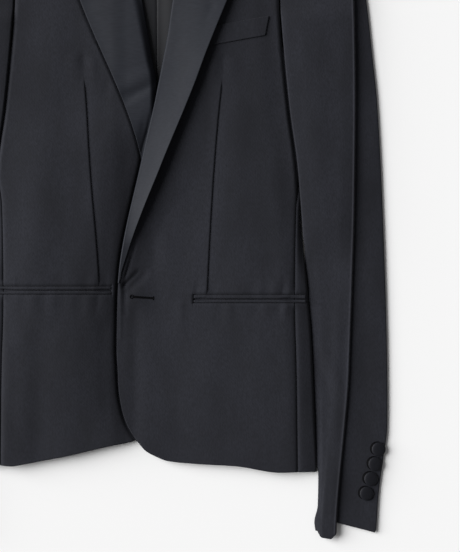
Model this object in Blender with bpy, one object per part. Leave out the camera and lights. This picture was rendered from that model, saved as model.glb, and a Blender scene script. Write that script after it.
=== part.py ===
"""One-button tuxedo jacket, laid flat and face up on a level surface.

Sizes are in millimetres. In the tables x runs to the wearer's left, as seen from above,
and y runs up the jacket from the hem. Every piece is a closed wall of cloth about a grid
of mid-surface points, and neighbours stay SEAM apart.
"""
import math

import bmesh
import bpy
import numpy as np

METRES = 0.001
LAY_Y = 289.7            # from the hem's level to the middle of the laid jacket
SEAM = 0.3               # clearance between two pieces
LAYER_GAP = 0.4          # clearance between cloth that lies on cloth

FRONT_WALL = 1.8         # worsted cloth with its canvas
BODY_WALL = 1.5
SLEEVE_WALL = 1.2
FACING_WALL = 1.2
COLLAR_WALL = 1.4
JET_WALL = 1.0

NECK_X = 8.0             # middle of the neck
BACK_NECK_Y = 613.0      # lowest point of the back neck seam
NECK_POINT = (80.0, 636.0)
SHOULDER_POINT = (192.0, 602.0)
LEFT_SEAM_SHIFT = 5.0    # the other side's front seam lies this much nearer the middle

# Outlines of the left front, which laps over: (y, x), except the hem: (x, y).
OVER_EDGE = ((32.6, -10.5), (50.4, -21.0), (67.2, -26.3), (87.2, -29.4), (108.0, -30.5),
             (128.0, -31.5), (180.0, -30.5), (212.0, -28.4), (224.7, -26.8), (325.5, -5.3),
             (391.7, 9.5), (428.4, 16.8), (462.0, 23.1), (495.6, 28.0), (530.0, 35.0),
             (566.0, 46.0), (600.0, 61.0), (636.0, 80.0))
OVER_HEM = ((-10.5, 32.6), (-1.0, 22.0), (8.4, 16.8), (22.0, 11.6), (55.7, 8.4), (93.5, 6.3),
            (139.7, -0.5), (158.0, 0.0))
OVER_DART = ((0.0, 57.0), (109.0, 59.5), (192.0, 63.0), (314.0, 69.8), (412.6, 78.8),
             (495.0, 92.0), (550.0, 105.0), (619.0, 136.0))
# Outlines of the right front, which lies under it.
UNDER_EDGE = ((41.0, -3.0), (57.0, 3.2), (76.0, 5.0), (200.0, 5.0), (235.0, 4.8), (264.6, 3.0),
              (327.6, 5.3), (380.0, 9.0), (408.5, 9.5), (432.6, 5.3), (469.4, -1.0),
              (495.6, -5.6), (530.0, -13.0), (566.0, -26.0), (600.0, -43.0), (636.0, -64.0))
UNDER_HEM = ((-154.0, 7.4), (-143.0, 6.3), (-123.0, 9.5), (-107.0, 12.6), (-79.0, 17.9),
             (-60.0, 22.6), (-39.0, 27.3), (-13.7, 32.6), (-3.0, 41.0))
UNDER_DART = ((7.0, -46.0), (109.0, -48.0), (198.5, -50.4), (309.8, -58.8), (415.0, -66.2),
              (495.0, -78.0), (550.0, -93.0), (619.0, -126.0))
# Side seam of the front, then its armhole: (y, x).
FRONT_OUTER = ((0.0, 158.0), (109.0, 156.5), (175.0, 154.9), (190.0, 154.9), (279.0, 156.4),
               (310.0, 160.6), (350.0, 167.0), (405.0, 176.0), (412.0, 160.0), (428.0, 148.5),
               (450.0, 141.6), (470.0, 139.9), (495.0, 138.4), (524.0, 140.5), (550.0, 148.0),
               (572.0, 161.0), (587.0, 175.0), (597.0, 186.0), (602.0, 192.0))
SIDE_TOP_Y = 404.6       # where the side panel meets the armhole
FOLD_RADIUS = 2.2
SIDE_FOLD = ((0.0, 177.6), (50.0, 175.6), (148.0, 171.3), (178.0, 168.7), (192.0, 167.8),
             (230.0, 164.0), (263.6, 161.8), (280.0, 162.5), (300.0, 165.0), (340.0, 174.0),
             (380.0, 183.0), (415.0, 190.0), (450.0, 190.0), (520.0, 190.0), (602.0, 192.0))
BACK_OUTER = ((0.0, 118.0), (100.0, 113.0), (200.0, 107.0), (265.0, 102.0), (300.0, 106.0),
              (350.0, 120.0), (400.0, 140.0), (432.0, 160.0), (470.0, 176.0), (520.0, 180.0),
              (570.0, 186.0), (602.0, 191.0))
CENTRE_BACK_X = 10.0
# Hem of the back, which arches up out of sight above the fronts' hems: (x, y).
BACK_HEM = ((-118.0, 11.0), (-79.0, 20.5), (-39.0, 31.0), (-10.0, 37.5), (20.0, 32.0),
            (60.0, 18.0), (118.0, 4.0))

# Rows of the fronts above the pocket: height at the front edge, height at the side.
FRONT_ROWS = ((207, 207), (221, 221), (231, 231), (246, 246), (266, 266), (290, 290), (315, 315),
              (340, 340), (362, 362), (382, 385), (398, 404.6), (412, 412), (428, 428),
              (448, 450), (470, 470), (495, 495), (522, 524), (548, 550), (572, 572),
              (596, 587), (618, 597), (636, 602))
HEM_SHARES = (1.0, 0.93, 0.8, 0.62, 0.42, 0.22)

# Hip pockets: lowest and highest x, lower edge, slit and upper edge.
OVER_POCKET = {"x": (48.3, 200.0), "low": 177.0, "slit": 181.6, "high": 187.0}
UNDER_POCKET = {"x": (-157.8, -36.7), "low": 186.0, "slit": 190.9, "high": 195.9}
JET_END = 166.0          # the jets stop where the side rounds away
POCKET_STEP = 1.0        # the cloth steps down this far, so that the jets lie flush
SLIT = 0.5

# Satin lapels: outer edge (y, x) and how far that edge stands off the front (y, lift).
OVER_LAPEL = ((232.0, -21.8), (248.3, -13.7), (283.5, 0.0), (314.0, 15.8), (406.4, 50.4),
              (437.9, 62.0), (495.6, 85.0), (549.0, 106.0))
OVER_LIFT = ((228.0, 0.2), (262.0, 2.0), (300.0, 4.5), (350.0, 6.0), (450.0, 6.0),
             (500.0, 5.0), (549.0, 2.5))
UNDER_LAPEL = ((242.0, 0.6), (270.0, -0.6), (300.0, -1.8), (327.6, -5.8), (495.6, -70.4),
               (549.0, -90.0))
UNDER_LIFT = ((238.0, 0.1), (330.0, 0.3), (362.0, 1.5), (400.0, 3.5), (450.0, 4.5),
              (500.0, 4.0), (549.0, 2.5))
LAPEL_ROWS = (232, 242, 254, 270, 290, 312, 336, 362, 390, 420, 450, 475, 500, 522, 544, 566)
GORGE_TOP = 566.0        # the roll line's height at the gorge seam
PEAK_Y = 549.0
STRAIGHT_TOP = 500.0     # below this the lapel's rows are level
GORGE_DIP = 17.0         # how far the gorge runs down before the peak rises
GORGE_CORNER = 0.62      # share of the lapel's width where the collar ends

# Sleeve, seen from above: inner edge, crease of the lengthwise pleat and outer edge: (y, x).
SLEEVE_INNER = ((-64.0, 177.4), (-51.5, 175.4), (-36.0, 178.9), (0.0, 179.6), (50.0, 177.6),
                (148.0, 173.3), (178.0, 170.7), (192.0, 169.8), (230.0, 166.0), (240.0, 164.6),
                (248.0, 163.4), (263.6, 162.2), (285.0, 160.6), (321.3, 157.6), (380.0, 149.6),
                (450.0, 142.6), (470.0, 141.0),
                (495.0, 139.5), (524.0, 141.7), (550.0, 149.6), (572.0, 162.9), (587.0, 176.9),
                (597.0, 188.0))
SLEEVE_CREASE = ((-52.0, 198.5), (-14.0, 201.6), (20.0, 204.8), (52.5, 207.9), (94.5, 211.4),
                 (128.0, 212.7), (285.6, 217.4), (390.6, 218.4), (495.6, 216.7), (550.0, 209.0),
                 (597.0, 196.0))
SLEEVE_OUTER = ((-59.0, 240.5), (-21.0, 243.2), (12.6, 247.8), (47.3, 252.0), (74.6, 252.3),
                (128.0, 251.7), (285.6, 246.8), (387.5, 241.5), (437.9, 236.3), (495.6, 230.0),
                (530.0, 224.5), (560.0, 217.0), (580.0, 210.0), (597.0, 202.5))
SLEEVE_ROWS = (597, 587, 572, 550, 524, 495, 470, 447, 420, 390, 360, 330, 305, 280, 262, 248,
               233, 216, 160, 95, 30, -14, -36)
CUFF_SHARES = (0.5, 1.0)
CUFF_START = -36.0       # the last row at one height, above the slanted hem
BODY_HEIGHT = 6.5        # how far the sleeve climbs where it lies on the body
CLIMB_START = 1.2        # it starts down this far outside the body's side fold
CLIMB_RUN = 13.0         # and is down after this run
BRIDGE_RUN = 7.0         # the upper layer bridges the step on a run longer by this
INNER_RADIUS = 1.9
OUTER_RADIUS = 1.6
PLEAT_RADIUS = 0.95
PLEAT_DEPTH = ((-71.0, 12.0), (470.0, 12.0), (524.0, 4.0), (550.0, 1.0), (597.0, 0.6))
PLEAT_TURN = ((-71.0, 180.0), (524.0, 180.0), (550.0, 90.0), (572.0, 30.0), (597.0, 0.0))
TAIL = 6.0
SLEEVE_SEAM_ANGLE = 14.0 # each half of the outer seam stops this far from the fold's middle

# Covered buttons on each sleeve: centre, top first.
SLEEVE_BUTTONS = ((243.4, 23.8), (239.8, 8.4), (235.4, -7.2), (230.8, -22.6))
BUTTON_RADIUS = 7.4
FRONT_BUTTON = (-15.0, 184.0)
FRONT_BUTTON_RADIUS = 9.0

WELT = {"low_left": (64.0, 446.5), "length": 60.0, "height": 20.5, "slope": 0.185, "lean": 0.19}


def smooth(table, at):
    """Value at each place in a two-column table, on a curve with no overshoot."""
    knots, values = np.array(table, dtype=float).T
    step = np.diff(knots)
    slope = np.diff(values) / step
    tangent = np.zeros_like(values)
    steady = np.flatnonzero(slope[:-1] * slope[1:] > 0)
    before = 2 * step[1:][steady] + step[:-1][steady]
    after = step[1:][steady] + 2 * step[:-1][steady]
    tangent[steady + 1] = (before + after) / (before / slope[:-1][steady] + after / slope[1:][steady])
    tangent[0] = slope[0]
    tangent[-1] = slope[-1]
    at = np.clip(np.asarray(at, dtype=float), knots[0], knots[-1])
    span = np.clip(np.searchsorted(knots, at, side="right") - 1, 0, len(step) - 1)
    width = step[span]
    t = (at - knots[span]) / width
    return (values[span] * (1 + 2 * t) * (1 - t) ** 2 + values[span + 1] * t * t * (3 - 2 * t)
            + width * t * (1 - t) * (tangent[span] * (1 - t) - tangent[span + 1] * t))


def ease(value):
    """0 below 0, 1 above 1, with an easy start and end."""
    value = np.clip(value, 0.0, 1.0)
    return value * value * (3 - 2 * value)


def unit(vectors):
    return vectors / np.maximum(np.linalg.norm(vectors, axis=-1, keepdims=True), 1e-9)


def mean_direction(grid, axis):
    """Unit direction along one axis of a grid, halfway between the two edges at each point."""
    edges = unit(np.diff(grid, axis=axis))
    first = np.take(edges, [0], axis=axis)
    last = np.take(edges, [-1], axis=axis)
    return unit(np.concatenate((first, edges), axis=axis) + np.concatenate((edges, last), axis=axis))


def cloth_material(name, colour, roughness):
    material = bpy.data.materials.new(name)
    material.use_nodes = True
    shader = material.node_tree.nodes["Principled BSDF"]
    shader.inputs["Base Color"].default_value = (*colour, 1.0)
    shader.inputs["Roughness"].default_value = roughness
    shader.inputs["Metallic"].default_value = 0.0
    material.diffuse_color = (*colour, 1.0)
    return material


def add_object(name, vertices, faces, material):
    """A named object from points in millimetres, its faces turned outwards."""
    mesh = bpy.data.meshes.new(name)
    points = (np.asarray(vertices) - (0.0, LAY_Y, 0.0)) * METRES
    mesh.from_pydata(points.tolist(), [], faces)
    work = bmesh.new()
    work.from_mesh(mesh)
    bmesh.ops.recalc_face_normals(work, faces=work.faces)
    work.to_mesh(mesh)
    work.free()
    mesh.shade_smooth()
    mesh.set_sharp_from_angle(angle=math.radians(40))
    mesh.materials.append(material)
    piece = bpy.data.objects.new(name, mesh)
    bpy.context.scene.collection.objects.link(piece)
    return piece


def wall(name, grid, thickness, material):
    """A closed wall of cloth, half its thickness to each side of a grid of points."""
    grid = np.asarray(grid, dtype=float)
    rows, columns = grid.shape[:2]
    normal = unit(np.cross(mean_direction(grid, 1), mean_direction(grid, 0)))
    sides = [(grid + normal * thickness * half).reshape(-1, 3) for half in (0.5, -0.5)]
    count = rows * columns

    def at(side, row, column):
        return side * count + row * columns + column

    faces = []
    for row in range(rows - 1):
        for column in range(columns - 1):
            ring = ((row, column), (row, column + 1), (row + 1, column + 1), (row + 1, column))
            if np.ptp(grid[row:row + 2, column:column + 2, 2]) < 1e-6:
                halves = (ring,)
            elif (np.linalg.norm(grid[ring[0]] - grid[ring[2]])
                  > np.linalg.norm(grid[ring[1]] - grid[ring[3]])):
                halves = (ring[:2] + ring[3:], ring[1:])
            else:
                halves = (ring[:3], ring[2:] + ring[:1])
            for half in halves:
                faces.append([at(0, *corner) for corner in half])
                faces.append([at(1, *corner) for corner in reversed(half)])
    rim = ([(0, column) for column in range(columns)]
           + [(row, columns - 1) for row in range(1, rows)]
           + [(rows - 1, column) for column in reversed(range(columns - 1))]
           + [(row, 0) for row in reversed(range(1, rows - 1))])
    for start, end in zip(rim, rim[1:] + rim[:1]):
        faces.append([at(0, *end), at(0, *start), at(1, *start), at(1, *end)])
    return add_object(name, np.concatenate(sides), faces, material)


def mirrored(grid):
    """The other side's grid."""
    return np.asarray(grid) * (-1.0, 1.0, 1.0)


# ---------------------------------------------------------------- heights of the cloth

def shoulder_y(x):
    """Height of the shoulder line, on either side of the neck."""
    share = (np.abs(x - NECK_X) - (NECK_POINT[0] - NECK_X)) / (SHOULDER_POINT[0] - NECK_POINT[0])
    return NECK_POINT[1] + np.clip(share, 0, 1.1) * (SHOULDER_POINT[1] - NECK_POINT[1])


def back_height(x, y):
    """Middle of the back's wall: on the surface, and over the collar's fall at the neck."""
    near_neck = ease((125 - np.abs(x - NECK_X)) / 40)
    return BODY_WALL / 2 + 2.0 * near_neck * ease((y - 582) / 20)


def settle_on_shoulder(height, x, y):
    """The front comes down on the back along the shoulder seam."""
    on_back = back_height(x, y) + BODY_WALL / 2 + 1.5 * LAYER_GAP + FRONT_WALL / 2
    share = 1 - ease((shoulder_y(x) - y) / 34)
    return np.maximum(height * (1 - share) + on_back * share, on_back)


def pocket_step(pocket, x, y):
    """How far the cloth steps down inside a pocket's mouth."""
    inside_x = np.minimum(x - pocket["x"][0], pocket["x"][1] - x)
    inside_y = np.minimum(y - pocket["low"], pocket["high"] - y)
    return POCKET_STEP * np.clip(np.minimum(inside_x, inside_y) + 0.5, 0, 1)


def over_height(x, y, pocket=OVER_POCKET):
    """Middle of the upper front's wall."""
    from_edge = x - smooth(OVER_EDGE, y)
    rise = smooth(((0, 0.5), (150, 0.9), (215, 1.5), (262, 1.8), (480, 1.8), (560, 1.0), (636, 0.2)), y)
    button = ((x - FRONT_BUTTON[0]) ** 2 + (y - FRONT_BUTTON[1]) ** 2) / (2 * 13.0 ** 2)
    height = 5.2 + rise * ease((100 - from_edge) / 100) + 2.2 * np.exp(-button)
    return settle_on_shoulder(height - pocket_step(pocket, x, y), x, y)


def under_height(x, y, pocket=UNDER_POCKET):
    """Middle of the lower front's wall."""
    height = 2.8 + 0.95 * ease((-20 - x) / 18) + 1.35 * ease((-45 - x) / 95)
    return settle_on_shoulder(height - pocket_step(pocket, x, y), x, y)


# ---------------------------------------------------------------- body

def front_levels(pocket, corner_y):
    """Rows of a front from hem to shoulder: heights at both edges, share of the hem's curve."""
    base = pocket["low"] - 7
    levels = [(base + share * (corner_y - base), base * (1 - share), share) for share in HEM_SHARES]
    levels.append((base, base, 0.0))
    for edge in (pocket["low"], pocket["high"]):
        levels += [(edge - 0.5, edge - 0.5, 0.0), (edge + 0.5, edge + 0.5, 0.0)]
    lift = pocket["low"] - OVER_POCKET["low"]
    levels += [(inner + lift * (inner < 210), outer + lift * (outer < 210), 0.0)
               for inner, outer in FRONT_ROWS]
    return levels


def front_outer_x(level, hem_share, shift):
    """Side seam or armhole of a front, on the wearer's left."""
    near = float(1 - ease((level - 330) / 60))
    return float(smooth(FRONT_OUTER, level)) - shift * near


def front_grid(side, edge, hem, dart, pocket, height, pocket_share):
    """A front's grid: rows from hem to shoulder, columns from front edge to side seam."""
    corner_y = min(y for y, _ in edge)
    rows = []
    for inner_y, outer_y, hem_share in front_levels(pocket, corner_y):
        wrapped = ease((inner_y - 222) / 8)
        under_collar = ease((inner_y - 552) / 10)
        inset = (FACING_WALL + 2 * LAYER_GAP) * wrapped + 4.5 * under_collar
        inner_x = float(smooth(edge, inner_y)) + side * inset
        shift = 0.0 if side > 0 else LEFT_SEAM_SHIFT
        outer_x = side * (front_outer_x(outer_y, hem_share, shift) - SEAM / 2)
        dart_y = inner_y + (outer_y - inner_y) * 0.55
        dart_x = float(smooth(dart, dart_y))
        mouth_x = inner_x + pocket_share * (dart_x - inner_x)
        if 170 < inner_y < 200:
            mouth_x = pocket["x"][0] if side > 0 else pocket["x"][1]
        x = np.concatenate((
            inner_x + (mouth_x - inner_x) * np.array((0.0, 0.12, 0.4, 0.72)),
            mouth_x + side * np.array((-0.5, 0.5)),
            dart_x + side * np.array((-2.0, 0.0, 2.0)),
            dart_x + (outer_x - dart_x) * np.array((0.25, 0.5, 0.75, 1.0))))
        level = inner_y + (outer_y - inner_y) * (x - inner_x) / (outer_x - inner_x)
        straight = pocket["low"] - 7
        y = np.where(hem_share > 0, straight + hem_share * (smooth(hem, x) - straight), level)
        z = height(x, y)
        z[7] -= 0.45 * ease((440 - y[7]) / 30) * ease((y[7] - pocket["high"]) / 8)
        rows.append(np.stack((x, y, z), axis=-1))
    for beyond, drop in ((1.3, 0.5), (2.2, 1.7)):
        last = rows[-1].copy() if beyond < 2 else rows[-2].copy()
        last[:, 1] += beyond
        last[:, 2] -= drop
        rows.append(last)
    return np.array(rows)


def side_section(y, seam_x, seam_z, fold_x, back_x, step, mouth_end):
    """One section of a side panel: over the top, round the fold and back along the floor."""
    floor = BODY_WALL / 2
    inside = step(seam_x + 1, y)
    to_fold = step(fold_x, y)
    radius = FOLD_RADIUS - to_fold / 2
    top_x = fold_x - radius
    x = np.array((seam_x, seam_x + 0.35 * (top_x - seam_x), seam_x + 0.7 * (top_x - seam_x), top_x))
    if seam_x < mouth_end < top_x:
        x[1:3] = (mouth_end - 0.5, mouth_end + 0.5)
    flat = seam_z + inside
    z = flat + (floor + 2 * FOLD_RADIUS - flat) * ease((x - seam_x) / (top_x - seam_x)) - step(x, y)
    angle = np.radians((60, 30, 0, -30, -60, -90))
    arc_x = top_x + radius * np.cos(angle)
    arc_z = floor + radius + radius * np.sin(angle)
    under = top_x + (back_x - top_x) * np.array((0.5, 1.0))
    x = np.concatenate((x, arc_x, under))
    z = np.concatenate((z, arc_z, (floor, floor)))
    return np.stack((x, np.full_like(x, y), z), axis=-1)


def side_grid(shift, hem_y, pocket, height):
    """A side panel's grid, drawn on the wearer's left; the other one is mirrored."""
    straight = pocket["low"] - 7
    rows = []
    for _, level, share in front_levels(pocket, hem_y):
        if level > SIDE_TOP_Y:
            break
        y = straight + share * (hem_y - straight) if share else level
        seam_x = front_outer_x(level, share, shift) + SEAM / 2
        row = side_section(y, seam_x, float(height(seam_x, y)), float(smooth(SIDE_FOLD, y)), 0.0,
                           lambda x, at: pocket_step(pocket, x, at), pocket["x"][1])
        lean = ease((level - 345) / (SIDE_TOP_Y - 345))
        row[:, 1] += np.interp(np.arange(len(row)), (0, 3, 9, 11), (0, 8, 11, 22)) * lean
        back_x = float(smooth(BACK_OUTER, row[-1, 1])) + SEAM
        row[10:, 0] = row[9, 0] + (back_x - row[9, 0]) * np.array((0.5, 1.0))
        rows.append(row)
    return np.array(rows)


def back_grid(side):
    """A back's grid, flat on the surface: centre-back seam to side seam, hem to shoulder."""
    centre = CENTRE_BACK_X + side * SEAM / 2
    neck = NECK_X + side * 56.0
    rows = []
    for y in (0, 40, 80, 160, 230, 265, 295, 325, 360, 395, 430, 470, 545, 567, 584, 596, 608, 623, 640):
        outer = float(smooth(BACK_OUTER, y)) - 3 * SEAM
        x = np.concatenate((
            centre + (neck - centre) * np.array((0.0, 0.35, 0.7, 1.0)),
            neck + (side * outer - neck) * np.array((0.2, 0.4, 0.65, 1.0))))
        highest = np.where(np.abs(x - NECK_X) < 52, back_neck_y(x), shoulder_y(x)) - 1.3
        level = np.full_like(x, y) if y < 550 else 545 + (highest - 545) * (y - 545) / (640 - 545)
        level = level + max(0, 1 - y / 80) * smooth(BACK_HEM, x)
        rows.append(np.stack((x, level, back_height(x, level)), axis=-1))
    return np.array(rows)


# ---------------------------------------------------------------- lapels and collar

def lapel_grid(side, edge, outline, lift, height):
    """A satin facing from the roll line, where it turns down, out to its free edge."""
    clearance = FRONT_WALL / 2 + LAYER_GAP + FACING_WALL / 2
    wrap = clearance
    rows = []
    first = float(outline[0][0])
    for roll_y in LAPEL_ROWS:
        roll_y = max(float(roll_y), first)
        if rows and roll_y <= rows[-1][0][1] + 0.5:
            continue
        rise = max(roll_y - STRAIGHT_TOP, 0) / (GORGE_TOP - STRAIGHT_TOP)
        outer_y = min(roll_y, STRAIGHT_TOP) + rise * (PEAK_Y - STRAIGHT_TOP)
        roll_x = float(smooth(edge, roll_y))
        outer_x = float(smooth(outline, outer_y))
        narrow = min(1.0, abs(outer_x - roll_x) / (wrap + 3.0))
        start = roll_x + side * wrap * narrow
        angle = np.radians((180, 135, 90))
        arc_x = start + side * wrap * narrow * np.cos(angle)
        arc_z = np.maximum(wrap * np.sin(angle), clearance - wrap * (1 - np.sin(angle)))
        share = np.array((0.15, 0.38, GORGE_CORNER, 0.82, 1.0))
        x = np.concatenate((arc_x, start + (outer_x - start) * share))
        s = np.concatenate(((0, 0, 0), share))
        dip = np.where(s < GORGE_CORNER, s / GORGE_CORNER, (1 - s) / (1 - GORGE_CORNER))
        y = roll_y + (outer_y - roll_y) * s - GORGE_DIP * rise ** 2 * dip
        base = height(x, y, {"x": (0, 0), "low": 0, "high": 0})
        up = np.concatenate((arc_z, np.full(5, clearance))) + smooth(lift, y) * s ** 1.6
        rows.append(np.stack((x, y, base + up), axis=-1))
    return np.array(rows)


# Collar from the gorge to the centre back: the fold's centre line, the plan direction of the
# section, and how far out and how high the edges of stand and fall lie.
COLLAR = (
    # along,  fold x, fold y, fold z, aim, stand out, stand z, fall out, fall z
    (0.00, 44.9, 568.8, 7.60, -36, 5.0, 6.65, 40.0, 8.55),
    (0.16, 51.5, 585.0, 7.60, -20, 6.3, 6.35, 42.0, 8.55),
    (0.30, 58.5, 602.0, 7.60, -2, 7.6, 6.30, 42.0, 8.55),
    (0.42, 64.0, 618.0, 7.60, 14, 10.2, 5.60, 40.0, 8.30),
    (0.53, 67.0, 631.0, 8.40, 34, 9.0, 4.80, 25.0, 5.20),
    (0.60, 66.3, 637.8, 9.30, 50, 2.0, 4.20, 14.0, 3.00),
    (0.66, 63.0, 641.5, 9.30, 62, -4.0, 3.60, 6.5, 1.80),
    (0.73, 57.5, 644.5, 8.30, 74, -14.5, 2.90, -2.0, 1.10),
    (0.80, 49.0, 646.5, 5.60, 82, -23.2, 2.75, -14.0, 0.85),
    (0.86, 39.5, 647.5, 3.20, 87, -29.7, 2.60, -26.0, 0.72),
    (0.93, 25.0, 648.0, 1.90, 89, -34.2, 2.50, -38.0, 0.70),
    (1.00, 8.0, 648.0, 1.75, 90, -35.3, 2.45, -42.0, 0.70),
)
COLLAR_STATIONS = (0.0, 0.16, 0.30, 0.42, 0.48, 0.53, 0.57, 0.60, 0.63, 0.66, 0.695, 0.73, 0.765,
                   0.80, 0.86, 0.93, 1.0)


def collar_section(along):
    """One section: a hairpin of stand and fall about the fold's centre line."""
    values = [float(smooth([(row[0], row[column]) for row in COLLAR], along)) for column in range(1, 9)]
    fold_x, fold_y, fold_z, aim, stand_out, stand_z, fall_out, fall_z = values
    radius = COLLAR_WALL / 2 + LAYER_GAP / 2 + 0.05

    def run(out, height, turn):
        """Direction and length of a straight run from the bend to an edge."""
        reach = math.hypot(out, height - fold_z)
        heading = math.atan2(height - fold_z, out)
        if heading > math.pi / 2:
            heading -= math.tau
        return heading + turn * math.asin(radius / reach), math.sqrt(reach ** 2 - radius ** 2)

    stand, stand_length = run(stand_out, stand_z, 1)
    fall, fall_length = run(fall_out, fall_z, -1)
    bend = np.linspace(stand - math.pi / 2, fall - 1.5 * math.pi, 5)
    bend = np.stack((np.cos(bend), np.sin(bend)), axis=-1) * radius
    stand_run = [bend[0] + np.array((math.cos(stand), math.sin(stand))) * stand_length * s
                 for s in (1.0, 0.5)]
    fall_run = [bend[-1] + np.array((math.cos(fall), math.sin(fall))) * fall_length * s
                for s in (0.3, 0.7, 1.0)]
    out, up = np.concatenate((stand_run, bend, fall_run)).T
    heading = math.radians(aim)
    return np.stack((fold_x + out * math.cos(heading), fold_y + out * math.sin(heading),
                     fold_z + up), axis=-1)


def back_neck_y(x):
    """Height of the back neck seam on either side of its middle."""
    return BACK_NECK_Y + (NECK_POINT[1] - BACK_NECK_Y) * (np.abs(x - NECK_X) / 52) ** 3


def collar_grid():
    half = [collar_section(along) for along in COLLAR_STATIONS]
    other = [(row * (-1, 1, 1) + (2 * NECK_X, 0, 0)) for row in reversed(half[:-1])]
    return np.array(half + other)


# ---------------------------------------------------------------- sleeves

def climb(x, y, bridge):
    """How far a sleeve is raised where it lies over the edge of the body."""
    height = BODY_HEIGHT * ease((y - 215) / 46) - 3.9 * ease((y - 472) / 20)
    beyond = x - smooth(SIDE_FOLD, y) - CLIMB_START
    return height * (1 - ease(beyond / (CLIMB_RUN + BRIDGE_RUN * bridge)))


def pleat_points(crease_x, top_z, depth, turn):
    """The pleat in section: a bend by the given turn, a run of its depth and a bend back."""
    bends = 3
    x, z, heading = crease_x, top_z, 0.0
    points = [(x, z)]
    step = math.radians(turn) / bends
    for sign in (-1, 1):
        for _ in range(bends):
            chord = 2 * PLEAT_RADIUS * math.sin(step / 2) + 0.25 * (1 - turn / 180)
            heading += sign * step / 2
            x += chord * math.cos(heading)
            z += chord * math.sin(heading)
            heading += sign * step / 2
            points.append((x, z))
        if sign < 0:
            x += depth * math.cos(heading)
            z += depth * math.sin(heading)
            points.append((x, z))
    return points


def sleeve_section(y):
    """Section of the top sleeve at one height: x, z and the share of the bridging layer."""
    inner = float(smooth(SLEEVE_INNER, y))
    outer = float(smooth(SLEEVE_OUTER, y))
    crease = float(smooth(SLEEVE_CREASE, y))
    depth = float(smooth(PLEAT_DEPTH, y))
    turn = float(smooth(PLEAT_TURN, y))
    near_top = float(ease((y - 530) / 64))
    inner_radius = INNER_RADIUS - 0.7 * near_top
    outer_radius = OUTER_RADIUS - 0.3 * near_top
    floor = SLEEVE_WALL / 2
    dark = floor + 2 * outer_radius
    pleat = pleat_points(0.0, 0.0, depth, turn)
    shift = crease - PLEAT_RADIUS * math.sin(math.radians(min(turn, 90)))
    rise = dark - pleat[-1][1]
    pleat = [(x + shift, z + rise) for x, z in pleat]
    angle = np.radians((-90, -130, 180, 130, 90))
    start_x = inner + inner_radius
    fold = [(start_x + inner_radius * math.cos(a), floor + inner_radius + inner_radius * math.sin(a))
            for a in angle]
    low = floor + 2 * inner_radius
    run = pleat[0][0] - depth - 2.0 - start_x
    light = [(start_x + run * s, low + (pleat[0][1] - low) * float(ease(s))) for s in (0.3, 0.6, 1.0)]
    end_x = outer - outer_radius
    dark_run = [(pleat[-1][0] + (end_x - pleat[-1][0]) * s, dark) for s in (0.5, 1.0)]
    curl = [(end_x + outer_radius * math.cos(a), floor + outer_radius + outer_radius * math.sin(a))
            for a in np.radians((60, 37, SLEEVE_SEAM_ANGLE))]
    tail = [(start_x + TAIL * (1 - 0.6 * near_top) * s, floor) for s in (1.0, 0.5)]
    points = np.array(tail + fold + light + pleat + dark_run + curl)
    bridge = np.zeros(len(points))
    bridge[4:10] = (0.3, 0.7, 1.0, 1.0, 1.0, 0.5)
    return np.column_stack((points, bridge))


def under_section(y):
    """Section of the under sleeve at one height: x, z and no bridging layer."""
    near_top = float(ease((y - 530) / 64))
    inner_radius = INNER_RADIUS - 0.7 * near_top
    outer_radius = OUTER_RADIUS - 0.3 * near_top
    floor = SLEEVE_WALL / 2
    start = float(smooth(SLEEVE_INNER, y)) + inner_radius + TAIL * (1 - 0.6 * near_top) + 3 * SEAM
    end_x = float(smooth(SLEEVE_OUTER, y)) - outer_radius
    curl = [(end_x + outer_radius * math.cos(a), floor + outer_radius + outer_radius * math.sin(a))
            for a in np.radians((-90, -60, -37, -SLEEVE_SEAM_ANGLE))]
    length = min(CLIMB_RUN, 0.7 * (end_x - start))
    edge = float(np.clip(smooth(SIDE_FOLD, y) + CLIMB_START, start + 0.5, end_x - length - 0.5))
    run = [(start, floor)] + [(edge + length * s, floor) for s in (0.0, 0.33, 0.67, 1.0)]
    points = np.array(run + curl)
    return np.column_stack((points, np.zeros(len(points))))


def sleeve_grid(section, cuff):
    """Rows down the sleeve; below CUFF_START they lean to the hem's height at each point."""
    rows = []
    for y in SLEEVE_ROWS:
        points = section(y)
        x, z, bridge = points.T
        rows.append(np.stack((x, np.full_like(x, y), z + climb(x, y, bridge)), axis=-1))
    for share in CUFF_SHARES:
        lowest = CUFF_START + share * (-60 - CUFF_START)
        points = section(lowest)
        hem = np.interp(np.arange(len(points)), *cuff)
        y = CUFF_START + share * (hem - CUFF_START)
        rows.append(np.stack((points[:, 0], y, points[:, 1]), axis=-1))
    return np.array(rows)


# Heights of the sleeve's hem at points of its section, counted from the start.
TOP_CUFF = ((0, 6, 8, 9, 10, 13, 14, 17, 19, 22), (-62, -62, -67.5, -70, -66, -61, -57, -50, -64, -60))
UNDER_CUFF = ((0, 8), (-62, -60))


# ---------------------------------------------------------------- pockets and buttons

def laid_strip(low, high, ends, height, rows, columns, thickness, raised):
    """A strip that lies on a panel: its points are the panel's, moved out by its clearance."""
    y = np.linspace(low, high, rows)[:, None] + np.zeros((1, columns))
    x = np.linspace(*ends, columns)[None, :] + np.zeros((rows, 1))
    z = height(x, y) + raised + thickness / 2
    z[1:-1] += 0.15
    return np.stack((x, y, z), axis=-1)


def jets(name, pocket, height, material):
    """The two narrow jets of one hip pocket, lying in the step around its mouth."""
    ends = (pocket["x"][0] + 1.0, min(pocket["x"][1] - 1.0, JET_END))
    raised = FRONT_WALL / 2 + SEAM
    bands = {"lower": (pocket["low"] + 1.0, pocket["slit"] - SLIT / 2),
             "upper": (pocket["slit"] + SLIT / 2, pocket["high"] - 1.0)}
    for part, (low, high) in bands.items():
        grid = laid_strip(low, high, ends, height, 3, 13, JET_WALL, raised)
        wall(f"{name}_{part}_jet", grid, JET_WALL, material)


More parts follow.
